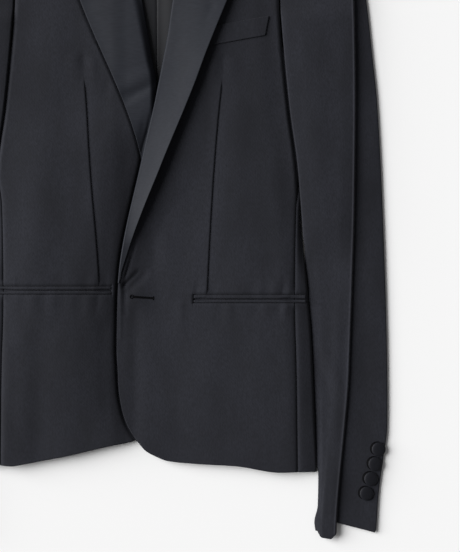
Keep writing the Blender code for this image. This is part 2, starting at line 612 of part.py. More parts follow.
def welt_grid():
    """The breast welt: a leaning band on the lapping front."""
    left, low = WELT["low_left"]
    run = np.linspace(0, 1, 7)[None, :]
    rise = np.linspace(0, 1, 3)[:, None]
    x = left + run * WELT["length"] + rise * WELT["height"] * WELT["lean"]
    y = low + run * WELT["length"] * WELT["slope"] + rise * WELT["height"]
    z = over_height(x, y) + FRONT_WALL / 2 + SEAM + JET_WALL / 2
    return np.stack((x, y, z), axis=-1)


def button(name, x, y, base, radius, height, material):
    """A covered button: a low dome turned about its own axis."""
    sides = 16
    profile = ((0.86, 0.0), (1.0, 0.28), (0.97, 0.58), (0.72, 0.9))
    vertices = []
    for reach, level in profile:
        vertices += [(x + radius * reach * math.cos(math.tau * k / sides),
                      y + radius * reach * math.sin(math.tau * k / sides),
                      base + level * height) for k in range(sides)]
    top = len(vertices)
    vertices.append((x, y, base + height))
    faces = [list(range(sides))]
    for ring in range(len(profile) - 1):
        for k in range(sides):
            after = (k + 1) % sides
            faces.append([ring * sides + k, ring * sides + after,
                          (ring + 1) * sides + after, (ring + 1) * sides + k])
    last = (len(profile) - 1) * sides
    faces += [[last + k, last + (k + 1) % sides, top] for k in range(sides)]
    return add_object(name, vertices, faces, material)


def main():
    for leftover in list(bpy.data.objects):
        bpy.data.objects.remove(leftover, do_unlink=True)

    wool = cloth_material("worsted_wool", (0.027, 0.028, 0.034), 0.85)
    satin = cloth_material("satin", (0.045, 0.046, 0.053), 0.42)
    cover = cloth_material("button_cover", (0.018, 0.018, 0.022), 0.6)

    over = front_grid(1, OVER_EDGE, OVER_HEM, OVER_DART, OVER_POCKET, over_height, 0.84)
    under = front_grid(-1, UNDER_EDGE, UNDER_HEM, UNDER_DART, UNDER_POCKET, under_height, 0.75)
    wall("front_left", over, FRONT_WALL, wool)
    wall("front_right", under, FRONT_WALL, wool)

    other_pocket = {"x": tuple(-x for x in reversed(UNDER_POCKET["x"])),
                    "low": UNDER_POCKET["low"], "high": UNDER_POCKET["high"]}
    wall("side_panel_left", side_grid(0.0, 0.0, OVER_POCKET, over_height), BODY_WALL, wool)
    wall("side_panel_right",
         mirrored(side_grid(LEFT_SEAM_SHIFT, UNDER_HEM[0][1], other_pocket,
                            lambda x, y: under_height(-x, y))), BODY_WALL, wool)
    wall("back_left", back_grid(1), BODY_WALL, wool)
    wall("back_right", back_grid(-1), BODY_WALL, wool)

    wall("lapel_left", lapel_grid(1, OVER_EDGE, OVER_LAPEL, OVER_LIFT, over_height),
         FACING_WALL, satin)
    wall("lapel_right", lapel_grid(-1, UNDER_EDGE, UNDER_LAPEL, UNDER_LIFT, under_height),
         FACING_WALL, satin)
    wall("collar", collar_grid(), COLLAR_WALL, satin)

    top_sleeve = sleeve_grid(sleeve_section, TOP_CUFF)
    under_sleeve = sleeve_grid(under_section, UNDER_CUFF)
    for side, turn in (("left", np.asarray), ("right", mirrored)):
        wall(f"top_sleeve_{side}", turn(top_sleeve), SLEEVE_WALL, wool)
        wall(f"under_sleeve_{side}", turn(under_sleeve), SLEEVE_WALL, wool)

    jets("pocket_left", OVER_POCKET, over_height, wool)
    jets("pocket_right", UNDER_POCKET, under_height, wool)
    wall("breast_welt", welt_grid(), JET_WALL, wool)

    for number, (x, y) in enumerate(SLEEVE_BUTTONS, start=1):
        dark_height = SLEEVE_WALL + 2 * OUTER_RADIUS + SEAM
        for side, sign in (("left", 1), ("right", -1)):
            button(f"sleeve_button_{side}_{number}", sign * x, y, dark_height, BUTTON_RADIUS, 3.6, cover)
    x, y = FRONT_BUTTON
    base = float(under_height(np.array([x + 9.0, x, x - 9.0]), np.array([y] * 3)).max())
    button("front_button", x, y, base + FRONT_WALL / 2 + SEAM, FRONT_BUTTON_RADIUS, 2.4, cover)


main()
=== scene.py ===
"""One-button tuxedo jacket with satin lapels, laid flat and face up on a pale surface.

Lengths in the tables are in millimetres. x runs to the wearer's left, as seen from above,
and y runs up the jacket from the hem.
"""

import math

import bpy
import numpy as np
from bpy.props import FloatProperty, FloatVectorProperty, PointerProperty
from bpy.types import Operator, Panel, PropertyGroup
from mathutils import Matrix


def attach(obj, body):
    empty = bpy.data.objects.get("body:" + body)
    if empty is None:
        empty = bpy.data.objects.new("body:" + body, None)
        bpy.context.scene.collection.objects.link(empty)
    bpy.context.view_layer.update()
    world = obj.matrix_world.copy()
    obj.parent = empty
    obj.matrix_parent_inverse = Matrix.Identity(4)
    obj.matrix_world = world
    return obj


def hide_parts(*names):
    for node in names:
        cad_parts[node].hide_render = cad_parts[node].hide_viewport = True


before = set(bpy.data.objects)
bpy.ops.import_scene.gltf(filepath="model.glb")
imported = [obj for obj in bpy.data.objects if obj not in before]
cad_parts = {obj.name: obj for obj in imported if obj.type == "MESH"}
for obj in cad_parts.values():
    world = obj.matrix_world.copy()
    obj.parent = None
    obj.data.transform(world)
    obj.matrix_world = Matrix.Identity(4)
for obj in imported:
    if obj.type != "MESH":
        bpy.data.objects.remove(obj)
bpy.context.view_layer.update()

bl_info = {
    "name": "Tuxedo Jacket",
    "version": (1, 0, 0),
    "blender": (4, 5, 0),
    "location": "3D Viewport > Sidebar > Tuxedo",
    "description": "Builds a one-button tuxedo jacket with satin peak lapels, laid flat",
    "category": "Add Mesh",
}

METRES = 0.001
LAY_Y = 289.7            # from the hem's level to the middle of the laid jacket
SEAM = 0.3               # clearance between two pieces
LAYER_GAP = 0.4          # clearance between cloth that lies on cloth

FRONT_WALL = 1.8         # worsted cloth with its canvas
BODY_WALL = 1.5
SLEEVE_WALL = 1.2
FACING_WALL = 1.2
COLLAR_WALL = 1.4
JET_WALL = 1.0

NECK_X = 8.0             # middle of the neck
# Back neck seam, just below the collar's stand: (distance from the middle of the neck, y).
BACK_NECK = ((0, 612.5), (16.4, 613.9), (29.9, 618.2), (37.8, 624), (45.5, 631), (52, 636.4))
NECK_COLUMN = 56.0       # a back's column at the side of the neck, this far from its middle
NECK_POINT = (80.0, 636.0)
SHOULDER_POINT = (192.0, 602.0)
LEFT_SEAM_SHIFT = 5.0    # the other side's front seam lies this much nearer the middle

# Outlines of the left front, which laps over: (y, x), except the hem: (x, y).
OVER_EDGE = (
    (32.6, -10.5), (50.4, -21), (67.2, -26.3), (87.2, -29.4), (108, -30.5), (128, -31.5),
    (180, -30.5), (212, -28.4), (224.7, -26.8), (325.5, -5.3), (391.7, 9.5), (428.4, 16.8),
    (462, 23.1), (495.6, 28), (530, 35), (566, 46), (600, 61), (636, 80))
OVER_HEM = (
    (-10.5, 32.6), (-1, 22), (8.4, 16.8), (22, 11.6), (55.7, 8.4), (93.5, 6.3), (139.7, -0.5),
    (158, 0))
OVER_DART = (
    (0, 57), (109, 59.5), (192, 63), (314, 69.8), (412.6, 78.8), (495, 92), (550, 105), (619, 136))
# Outlines of the right front, which lies under it.
UNDER_EDGE = (
    (41, -3), (57, 3.2), (76, 5), (200, 5), (235, 4.8), (264.6, 3), (327.6, 5.3), (380, 9),
    (408.5, 9.5), (432.6, 5.3), (469.4, -1), (495.6, -5.6), (530, -13), (566, -26), (600, -43),
    (636, -64))
UNDER_HEM = (
    (-154, 7.4), (-143, 6.3), (-123, 9.5), (-107, 12.6), (-79, 17.9), (-60, 22.6), (-39, 27.3),
    (-13.7, 32.6), (-3, 41))
UNDER_DART = (
    (7, -46), (109, -48), (198.5, -50.4), (309.8, -58.8), (415, -66.2), (495, -78), (550, -93),
    (619, -126))
DART_TOP = 414.0         # the darts run out here
# Side seam of the front, then its armhole: (y, x).
FRONT_OUTER = (
    (0, 158), (109, 156.5), (175, 154.9), (190, 154.9), (279, 156.4), (310, 160.6), (350, 167),
    (405, 176), (412, 160), (428, 148.5), (450, 141.6), (470, 139.9), (495, 138.4), (524, 140.5),
    (550, 148), (572, 161), (587, 175), (597, 186), (602, 192))
SIDE_TOP_Y = 404.6       # where the side panel meets the armhole
# Fold at the side of the body: (y, radius), then its outermost line: (y, x).
FOLD_RADIUS = ((0, 1.8), (60, 3.6), (195, 3.6), (250, 1.5), (450, 1.5))
SIDE_FOLD = (
    (0, 177.6), (50, 175.6), (148, 171.3), (178, 168.7), (192, 167.8), (230, 164), (263.6, 161.8),
    (280, 162.5), (300, 165), (340, 174), (380, 183), (415, 190), (450, 190), (520, 190),
    (602, 192))
# Side edge of the back, turned under the body: (y, x).
BACK_OUTER = (
    (0, 118), (100, 113), (200, 107), (265, 102), (300, 106), (350, 120), (400, 140), (432, 160),
    (470, 176), (520, 180), (570, 186), (602, 191))
CENTRE_BACK_X = 10.0
# Hem of the back, which arches up out of sight above the fronts' hems: (x, y).
BACK_HEM = ((-118, 11), (-79, 20.5), (-39, 31), (-10, 37.5), (20, 32), (60, 18), (118, 4))

# Rows of the fronts above the pocket: height at the front edge, height at the side.
FRONT_ROWS = (
    (207, 207), (221, 221), (231, 231), (246, 246), (266, 266), (290, 290), (315, 315), (340, 340),
    (362, 362), (382, 385), (398, 404.6), (412, 412), (428, 428), (448, 450), (470, 470),
    (495, 495), (522, 524), (548, 550), (572, 572), (596, 587), (618, 597), (636, 602))
ROW_SPACING = 2.3        # the rows are no further apart than this
HEM_SHARES = (1.0, 0.93, 0.8, 0.62, 0.42, 0.22)  # how far each row below a pocket is the hem's
HEM_END = 7.0            # this far below a pocket the rows stop following the hem
# The front's last rows turn in over the shoulder seam: x, y and z beyond the row before them.
SHOULDER_TURN = ((0, 1.3, -0.5), (0, 2.2, -1.7))
TUCK = 0.6               # the fronts roll down under the sleeves to this far past their edge
# Columns of a front: in from its edge, beside the dart, past the tuck and in from the seam.
EDGE_COLUMNS = np.array((0.0, 0.5, 1.0, 1.6, 2.3, 3.1, 4.0, 5.0, 6.2))
DART_COLUMNS = np.array((0.45, 0.9, 1.5, 2.4, 3.6))
TUCK_COLUMNS = np.array((-5.5, -4.4, -3.6, -2.8, -2.0, -1.2, -0.4, 0.6))
SEAM_COLUMNS = np.array((4.5, 3.0, 1.8, 0.9, 0.0))
# How cloth sinks beside a pressed seam: depth and reach of a broad and a narrow trough.
FRONT_TROUGH = (0.6, 5.0, 1.7, 0.9)
SIDE_TROUGH = (0.4, 8.0, 1.9, 1.2)

# Middle of the fronts' walls: the upper one, the lower one and the lowest that this may be.
OVER_LEVEL = 5.2
UNDER_LEVEL = 2.8
UNDER_LOWEST = 2.55
BULGE = 2.2              # rise over the hidden button
BULGE_SPREAD = 13.0

# Hip pockets: lowest and highest x, lower edge, slit and upper edge.
OVER_POCKET = {"x": (48.3, 200.0), "low": 177.0, "slit": 181.6, "high": 187.0}
UNDER_POCKET = {"x": (-157.8, -36.7), "low": 186.0, "slit": 190.9, "high": 195.9}
NO_POCKET = {"x": (0.0, 0.0), "low": 0.0, "high": 0.0}
JET_END = 166.0          # the jets stop where the side rounds away
JET_SEEN = 156.0         # and are seen as far as here
POCKET_STEP = 2.4        # the cloth steps down this far
JET_RISE = 1.1           # and the jets stand up from it, nearly flush
SLIT = 1.8               # width of the slit between two jets
JET_INSET = 1.3          # from the step to the jets' outer edges
# How far the lower front stands up beside the lap: distance from the lap's edge, height.
BESIDE_LAP = ((2, 0), (4.2, 3), (9, 4.7), (15, 6.1), (27, 8.2), (45, 9.7), (70, 10), (120, 9))
SWELL = 5.8              # how far the upper front stands up
# Its further rise along its own edge: (y, rise) and (y, how far in from the edge it reaches).
LAP_RISE = (
    (0, 1), (60, 2), (150, 2), (181, 3.8), (205, 5.4), (233, 6.6), (262, 6.2), (300, 4.6),
    (340, 3.2), (400, 1.8), (480, 1.8), (560, 1), (636, 0.2))
LAP_REACH = ((150, 56), (181, 44), (233, 34), (262, 38), (300, 58), (340, 70))

# Satin lapels: outer edge (y, x) and how far that edge stands off the front (y, lift).
OVER_LAPEL = (
    (198, -28.9), (206, -27.5), (214, -25.4), (224.7, -21.9), (235, -18.5), (248.3, -13.7),
    (283.5, 0), (314, 12.6), (327.6, 18), (406.4, 50.4), (437.9, 62), (495.6, 85), (549, 106))
OVER_LIFT = (
    (198, 0), (233, 0.8), (255, 4.2), (286, 7.2), (327, 8.8), (380, 8.4), (450, 7.4), (500, 5.5),
    (549, 2.5))
UNDER_LAPEL = ((242, 0.6), (270, -0.6), (300, -1.8), (327.6, -5.8), (495.6, -70.4), (549, -90))
UNDER_LIFT = ((238, 0.1), (330, 0.3), (400, 0.6), (500, 0.8), (549, 1.5))
GORGE_TOP = 566.0        # the roll line's height at the gorge seam
PEAK_Y = 549.0           # height of the lapel's peak
STRAIGHT_TOP = 500.0     # below this the lapel's rows are level
GORGE_DIP = 17.0         # how far the gorge runs down before the peak rises
GORGE_CORNER = 0.62      # share of the lapel's width where the collar ends
LAPEL_WRAP = 0.9         # the facing turns in this far round the front's edge
LAPEL_ROWS = 2.5         # spacing of its rows along the roll line

# Collar from the gorge to the centre back: the fold's centre line, the plan direction of the
# section, and how far out and how high the edges of stand and fall lie.
COLLAR = (
    # along,  fold x, fold y, fold z, aim, stand out, stand z, fall out, fall z
    (0.00, 44.9, 568.8, 7.60, -36, 5.0, 6.65, 40.0, 8.55),
    (0.16, 51.5, 585.0, 7.60, -20, 6.3, 6.35, 42.0, 8.55),
    (0.30, 58.5, 602.0, 7.60, -2, 7.6, 6.30, 42.0, 8.55),
    (0.42, 64.0, 618.0, 7.60, 14, 10.2, 5.60, 40.0, 8.30),
    (0.53, 67.0, 631.0, 8.40, 34, 9.0, 4.80, 25.0, 5.20),
    (0.60, 66.3, 637.8, 9.30, 50, 2.0, 4.20, 14.0, 3.00),
    (0.66, 63.0, 641.5, 9.30, 62, -4.0, 3.60, 6.5, 1.80),
    (0.73, 57.5, 644.5, 8.30, 74, -14.5, 2.90, -2.0, 1.10),
    (0.80, 49.0, 646.5, 5.60, 82, -23.2, 2.75, -14.0, 0.85),
    (0.86, 39.5, 647.5, 3.20, 87, -29.7, 2.60, -26.0, 0.72),
    (0.93, 25.0, 648.0, 1.90, 89, -34.2, 2.50, -38.0, 0.70),
    (1.00, 8.0, 648.0, 1.75, 90, -35.3, 2.45, -42.0, 0.70),
)

# Sleeve, seen from above: inner edge, crease of the lengthwise pleat and outer edge: (y, x).
SLEEVE_INNER = (
    (-64, 177.4), (-51.5, 175.4), (-36, 178.9), (0, 179.6), (50, 177.6), (148, 173.3), (178, 170.7),
    (192, 169.8), (230, 166), (240, 164.6), (248, 163.4), (263.6, 162.2), (285, 160.6),
    (321.3, 157.6), (380, 149.6), (450, 142.6), (470, 141), (495, 139.5), (524, 141.7),
    (550, 149.6), (572, 162.9), (587, 176.9), (597, 187.6), (600, 189.8), (602.4, 191.4))
SLEEVE_CREASE = (
    (-52, 198.5), (-14, 201.6), (20, 204.8), (52.5, 207.9), (94.5, 211.4), (128, 212.7),
    (285.6, 217.4), (390.6, 218.4), (495.6, 216.7), (550, 209), (600, 196.8), (602.4, 197.4))
SLEEVE_OUTER = (
    (-59, 240.5), (-21, 243.2), (12.6, 247.8), (47.3, 252), (74.6, 252.3), (128, 251.7),
    (285.6, 246.8), (387.5, 241.5), (437.9, 236.3), (495.6, 230), (530, 224.5), (560, 217),
    (580, 210), (592, 205), (600, 201.4), (602.4, 200.4))
SLEEVE_TOP = 602.4
CAP_START = 440.0        # above this the sleeve's rows lie closer together
CUFF_START = -36.0       # the last row at one height, above the slanted hem
CUFF_LEVEL = -60.0       # the height whose section the hem takes
BODY_HEIGHT = 6.5        # how far the sleeve climbs where it lies on the body
CLIMB_START = 1.2        # it starts down this far outside the body's side fold
CLIMB_RUN = 13.0         # and is down after this run
INNER_CLEARANCE = 1.0    # from the inner edge's line to the middle of the cloth that turns there
INNER_RADIUS = ((-64, 1.5), (200, 1.5), (255, 1.05), (594, 1.05))
OUTER_RADIUS = 1.0       # of the fold at the outer seam
# Lengthwise pleat: radius of its bends, (y, depth) and (y, degrees that the cloth turns back).
PLEAT_RADIUS = 0.85
PLEAT_DEPTH = ((-71, 12), (470, 12), (524, 4), (550, 1), (597, 0.6))
PLEAT_TURN = ((-71, 180), (524, 180), (550, 90), (572, 30), (597, 0))
TAIL = 6.0               # how far the top sleeve goes on under the arm
SLEEVE_SEAM_ANGLE = 14.0  # each half of the outer seam stops this far from the fold's middle
# Heights of the sleeve's hem at stations round its section.
TOP_CUFF = (
    (0, 6, 8, 9, 9.7, 10, 13, 14, 17, 19, 22),
    (-62, -62, -67.5, -69, -70.5, -66, -61, -57, -50, -64, -60))
UNDER_CUFF = ((0, 0.9, 1.3, 5, 8), (-56, -54, -50.5, -61.5, -60))
# Fullness of the upper layers at stations round the section: beside the body and over it.
FULLNESS = (
    (3.5, 5, 6, 7, 8, 9, 10, 13, 17, 17.6, 18, 18.5, 19, 20),
    (0, 0.4, 1, 1.6, 1.3, 1, 1.9, 1.9, 2.2, 2.2, 1.2, 0.5, 0, 0),
    (0, 0, 0.1, 0.8, 1.7, 2.4, 3.2, 3.2, 3.5, 3.5, 2, 0.9, 0, 0))

# Covered buttons on each sleeve: centre, top first.
SLEEVE_BUTTONS = ((243.4, 23.8), (239.8, 8.4), (235.4, -7.2), (230.8, -22.6))
BUTTON_RADIUS = 7.4
FRONT_BUTTON = (-15.0, 184.0)
BUTTON_HEIGHT = 2.6
FRONT_BUTTON_RADIUS = 9.0
FRONT_BUTTON_HEIGHT = 2.4
BUTTON_TILT = 9.0        # degrees that the sleeve buttons lean outwards
REST = 0.05              # clearance of a button on its cloth
# A covered button from its stay to its crown: (share of the radius, share of the height).
BUTTON_PROFILE = (
    (0.96, 0), (0.99, 0.07), (0.95, 0.14), (0.33, 0.15), (0.33, 0.21), (0.55, 0.26), (0.82, 0.24),
    (0.95, 0.31), (1, 0.45), (0.985, 0.58), (0.93, 0.71), (0.83, 0.82), (0.68, 0.9), (0.48, 0.96),
    (0.25, 0.99))
BUTTON_SIDES = 56
# Painted shade: the stay's near-black rim is shifted out from under each sleeve button so that it
# stands for the crescent of shade beside it.
STAY_SHADE_SHIFT = (-2.2, 0.9)  # the stay peeps out this far towards the crease
# Where the sleeve may touch a button's underside, from its middle.
UNDER_BUTTON = (-9.5, -6.0, -3.0, 0.0, 4.0)

# Buttonhole, lengths along it from the end with the eye.
BUTTONHOLE = ((-16.6, 184.2), (6.3, 182.6))
STITCH = 0.22            # spacing of the purl stitches' rings
HOLE_SIDE = 0.62         # from the middle of the slit to the stitches
EYE_MIDDLE = 0.9
EYE_RADIUS = 1.75
EYE_END = 2.6            # the straight sides start here
BAR_REACH = 2.1          # half the length of the bar at the other end
# The third cord runs down the open slit in near-black thread: partly the dark cloth under it,
# partly painted shade.
PURL_SIZE, BAR_SIZE, GIMP_AND_SLIT_SHADE_SIZE = 0.5, 0.55, 0.3  # radii of the cords

# Breast welt: its lower corner, size, the slope of its length and the lean of its ends.
WELT = {"low_left": (64.0, 446.5), "length": 60.0, "height": 20.5, "slope": 0.185, "lean": 0.19}

# Soft folds as ridges (or valleys, below nought) along a line: both ends, width, heights at both.
OVER_FOLDS = (
    (52, 189, 54, 205, 2.7, -0.59, 0), (61, 189, 62, 204, 2.7, 0.48, 0),
    (69, 189, 69, 206, 2.7, -0.54, 0), (110, 189, 112, 205, 3.2, -0.68, 0),
    (118, 189, 120, 204, 2.7, 0.51, 0), (125, 189, 127, 206, 2.9, -0.71, 0),
    (133, 189, 135, 206, 3.2, 0.61, 0), (142, 189, 144, 208, 3.2, -0.85, 0),
    (149, 189, 150, 206, 2.7, 0.51, 0), (35, 176, 37, 143, 4.2, 0.59, 0),
    (79, 174, 76, 149, 3.6, -0.71, 0), (86, 174, 83, 147, 3.4, 0.71, 0),
    (92, 174, 90, 154, 2.9, -0.48, 0), (116, 174, 114, 158, 3.4, -0.61, 0),
    (124, 174, 122, 154, 3.4, 0.51, 0), (138, 174, 134, 152, 3.6, -0.71, 0),
    (146, 174, 144, 156, 3.2, 0.51, 0), (-9.5, 210.5, -25, 195.5, 2.1, -1.5, -2.6),
    (-14, 243, -24.5, 208, 1, 0.5, 0.6), (-4, 207, -18, 193, 5, -1.5, -1.7),
    (-12.5, 240, -23, 204, 1.6, -1.2, -1.6), (-23.5, 198, -22.5, 166, 2.2, -1.2, -0.3),
    (-27.5, 200, -27.5, 140, 1.6, 0.6, 0.3), (-12, 168, -13, 30, 7, -0.7, -0.6),
    (-20, 184, 14, 183, 4.2, -0.25, -0.15), (20, 244, 26, 181, 7.4, 0.45, 0.1),
    (5, 249, 12, 196, 6.3, -0.4, -0.1), (98, 380, 93, 202, 14.7, 0.45, 0.2),
    (45, 296, 39, 196, 9.5, -0.35, -0.2), (127, 370, 131, 212, 12.6, -0.35, -0.3),
    (80, 433, 79, 407, 4.2, -0.7, -0.2), (70, 426, 68, 401, 4.2, 0.56, 0.1),
    (89, 428, 88, 399, 5.2, 0.49, 0.1), (3, 139, -1, 34, 9.5, 0.4, 0.2),
    (33, 128, 30, 18, 11.6, -0.35, -0.2), (70, 133, 68, 13, 12.6, 0.35, 0.2),
    (121, 128, 121, 18, 12.6, 0.3, 0.2))
UNDER_FOLDS = (
    (-133, 197, -133, 212, 3.2, -0.51, 0), (-121, 197, -122, 214, 3.2, -0.58, 0),
    (-108, 197, -108, 212, 3.2, 0.51, 0), (-91, 197, -91, 212, 3.2, -0.48, 0),
    (-64, 197, -64, 212, 3.2, -0.58, 0), (-55, 197, -55, 210, 3.2, 0.51, 0),
    (-43, 197, -44, 214, 3.2, -0.51, 0), (-128, 183, -129, 162, 3.4, -0.61, 0),
    (-118, 183, -119, 160, 3.4, 0.54, 0), (-107, 183, -108, 153, 3.6, -0.71, 0),
    (-99, 183, -100, 155, 3.4, 0.58, 0), (-88, 183, -89, 160, 3.4, -0.51, 0),
    (-70, 183, -70, 147, 3.8, -0.78, 0), (-61, 183, -62, 151, 3.6, 0.68, 0),
    (-51, 183, -54, 160, 3.4, -0.61, 0), (-66, 435, -66, 412, 4.2, -0.7, -0.2),
    (-77, 433, -75, 399, 5.2, 0.49, 0.1), (-56, 430, -55, 399, 4.2, 0.56, 0.1),
    (-41, 407, -45, 378, 5.2, -0.4, -0.1), (-123, 380, -119, 212, 12.6, 0.35, 0.2),
    (-89, 391, -85, 202, 12.6, -0.35, -0.2), (-37, 307, -41, 202, 7.4, -0.4, -0.2),
    (-146, 128, -150, 20, 9, 1, 1.2), (-112, 140, -114, 20, 12, -1, -1.1),
    (-81, 149, -81, 23, 12.6, 0.4, 0.2), (-45, 149, -43, 44, 8.4, -0.35, -0.2),
    (-49, 49, -20, 42, 4.2, 0.3, 0.1))
OVER_LAPEL_FOLDS = (
    (26, 459, 20, 422, 7.4, 0.5, 0.2), (68, 487, 61, 470, 5.2, -0.6, -0.2),
    (45, 433, 33, 391, 9.5, -0.35, -0.2), (3, 338, -13, 275, 6.3, 0.3, 0.2))
UNDER_LAPEL_FOLDS = (
    (-26, 390, 10, 408, 5, -1.5, -1.4), (-28, 403, 3, 418, 7.4, 0.9, 0.7),
    (-3, 363, -7, 340, 4.2, -0.8, -0.5), (-49, 485, -28, 433, 10.5, 0.5, 0.2))
SLEEVE_FOLDS = (
    (201, 181, 193, -50, 5.2, 0.35, 0.3), (177, 116, 194, 74, 6.3, -0.75, -0.4),
    (186, 128, 203, 88, 5.8, 0.55, 0.2), (180, 65, 186, 2, 5.2, 0.4, 0.2),
    (192, 433, 195, 202, 11.6, -0.35, -0.25), (161, 464, 180, 286, 10.5, 0.35, 0.2),
    (208, 149, 205, 34, 4.2, -0.35, -0.3))
OUTER_FOLDS = ((234, 370, 238, 149, 8.4, 0.3, 0.3), (230, 139, 230, 44, 5.2, -0.3, -0.2))

# Stage, in metres and degrees.
SURFACE_REACH = 4.0
SURFACE_Z = -0.0001      # just under the cloth
LIGHT_TURN = (-13.0, -60.5, 0.0)
LENS = 100.0
CAMERA_XY = (0.08715, -0.0839)
CLOTH_Z = 0.005          # the camera's height is measured from here


# ---------------------------------------------------------------- shared geometry

def smooth(table, at):
    """Value at each place in a two-column table, on a curve with no overshoot."""
    knots, values = np.array(table, dtype=float).T
    step = np.diff(knots)
    slope = np.diff(values) / step
    tangent = np.zeros_like(values)
    steady = np.flatnonzero(slope[:-1] * slope[1:] > 0)
    before = 2 * step[1:][steady] + step[:-1][steady]
    after = step[1:][steady] + 2 * step[:-1][steady]
    tangent[steady + 1] = (before + after) / (before / slope[:-1][steady]
                                              + after / slope[1:][steady])
    tangent[0] = slope[0]
    tangent[-1] = slope[-1]
    at = np.clip(np.asarray(at, dtype=float), knots[0], knots[-1])
    span = np.clip(np.searchsorted(knots, at, side="right") - 1, 0, len(step) - 1)
    width = step[span]
    t = (at - knots[span]) / width
    return (values[span] * (1 + 2 * t) * (1 - t) ** 2 + values[span + 1] * t * t * (3 - 2 * t)
            + width * t * (1 - t) * (tangent[span] * (1 - t) - tangent[span + 1] * t))


def ease(value):
    """0 below 0, 1 above 1, with an easy start and end."""
    value = np.clip(value, 0.0, 1.0)
    return value * value * (3 - 2 * value)


def unit(vectors):
    return vectors / np.maximum(np.linalg.norm(vectors, axis=-1, keepdims=True), 1e-9)


def mean_direction(grid, axis):
    """Unit direction along one axis of a grid, halfway between the two edges at each point."""
    edges = unit(np.diff(grid, axis=axis))
    first = np.take(edges, [0], axis=axis)
    last = np.take(edges, [-1], axis=axis)
    return unit(np.concatenate((first, edges), axis=axis)
                + np.concatenate((edges, last), axis=axis))


def mirrored(grid):
    """The other side's grid."""
    return np.asarray(grid) * (-1.0, 1.0, 1.0)


def refined(table, spacing):
    """Rows of a table with more rows between them, no further apart than the spacing."""
    rows = [tuple(table[0])]
    for before, after in zip(table, table[1:]):
        before, after = np.array(before, dtype=float), np.array(after, dtype=float)
        count = max(1, math.ceil(np.abs(after - before).max() / spacing))
        rows += [tuple(before + (after - before) * k / count) for k in range(1, count + 1)]
    return rows


def joined(stops, counts):
    """Evenly spaced values between each two stops, in so many steps, and the last stop."""
    runs = [np.linspace(a, b, n + 1)[:-1] for a, b, n in zip(stops, stops[1:], counts)]
    return np.concatenate(runs + [stops[-1:]])


def folds(x, y, table):
    """Height of soft folds at each point."""
    total = np.zeros(np.broadcast(x, y).shape)
    for x0, y0, x1, y1, width, first, last in table:
        length = math.hypot(x1 - x0, y1 - y0)
        along = ((x - x0) * (x1 - x0) + (y - y0) * (y1 - y0)) / length
        across = ((x - x0) * (y1 - y0) - (y - y0) * (x1 - x0)) / length
        share = np.clip(along / length, 0, 1)
        beyond = np.maximum(np.maximum(-along, along - length), 0)
        total += ((first + (last - first) * share)
                  * np.exp(-(across / width) ** 2 - (beyond / width) ** 2))
    return bpy.context.scene.tuxedo_cloth.folds * total


def slack(x, y):
    """The faint unevenness of cloth that has been smoothed out by hand."""
    height = 0.10 * bpy.context.scene.tuxedo_cloth.folds
    return height * (np.sin(x / 13 + np.sin(y / 41)) * np.sin(y / 29 + 1)
                     + 0.7 * np.sin(x / 7.3 - y / 37 + 2 * np.sin(y / 61)))


def turned_edge(grid, thickness):
    """A grid with rows added along its border, and the share of the wall's thickness at each."""
    angle = np.radians((30, 60, 90))
    distance = 0.35 * thickness * (1 - np.cos(angle))
    shares = []
    for axis in (0, 1):
        grid = np.moveaxis(grid, axis, 0)
        ends = []
        for border, inside in ((grid[0], grid[1]), (grid[-1], grid[-2])):
            room = np.linalg.norm(inside - border, axis=-1, keepdims=True)
            ends.append([border + unit(inside - border) * np.minimum(d, 0.8 * room)
                         for d in distance])
        grid = np.concatenate((grid[:1], ends[0], grid[1:-1], ends[1][::-1], grid[-1:]))
        share = np.ones(len(grid))
        share[:4] = np.sin(np.radians((0, 30, 60, 90)))
        share[-4:] = share[3::-1]
        shares.append(share)
        grid = np.moveaxis(grid, 0, axis)
    return grid, np.minimum.outer(*shares)


def add_piece(name, node, cloth, points, faces):
    """A smooth piece from points in millimetres, in the place of the frame's node if it has one.

    cloth holds the name of a colour slot and the materials; only the materials go on the piece.
    """
    slot, surfaces = cloth
    mesh = bpy.data.meshes.new(name)
    mesh.from_pydata(((np.asarray(points) - (0.0, LAY_Y, 0.0)) * METRES).tolist(), [], faces)
    for surface in surfaces:
        mesh.materials.append(surface())
    mesh.shade_smooth()
    piece = bpy.data.objects.new(name, mesh)
    bpy.context.scene.collection.objects.link(piece)
    if node:
        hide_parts(node)
    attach(piece, "root")
    return piece


def wall(name, node, cloth, grid, thickness, outward):
    """A closed wall of cloth with turned edges; its right side is up where outward is 1 in
    a grid that runs up and to the right, and down where it is -1."""
    grid, share = turned_edge(np.asarray(grid, dtype=float), thickness)
    rows, columns = grid.shape[:2]
    normal = unit(np.cross(mean_direction(grid, 1), mean_direction(grid, 0))) * outward
    half = (share * thickness / 2)[..., None]
    number = np.arange(rows * columns).reshape(rows, columns)
    inside = np.zeros((rows, columns), dtype=bool)
    inside[1:-1, 1:-1] = True
    under = number.copy()
    under[inside] = rows * columns + np.arange(inside.sum())
    points = np.concatenate(((grid + normal * half).reshape(-1, 3), (grid - normal * half)[inside]))

    def quads(index):
        ring = (index[:-1, :-1], index[:-1, 1:], index[1:, 1:], index[1:, :-1])
        return np.stack(ring, axis=-1).reshape(-1, 4)

    top, bottom = quads(number), quads(under)
    faces = np.concatenate((top, bottom[:, ::-1]) if outward > 0 else (top[:, ::-1], bottom))
    piece = add_piece(name, node, cloth, points, faces.tolist())
    piece.data.polygons.foreach_set("material_index", np.repeat((0, 1), len(top)).astype(np.int32))


# ---------------------------------------------------------------- heights of the cloth

def shoulder_y(x):
    """Height of the shoulder line, on either side of the neck."""
    share = (np.abs(x - NECK_X) - (NECK_POINT[0] - NECK_X)) / (SHOULDER_POINT[0] - NECK_POINT[0])
    return NECK_POINT[1] + np.clip(share, 0, 1.1) * (SHOULDER_POINT[1] - NECK_POINT[1])


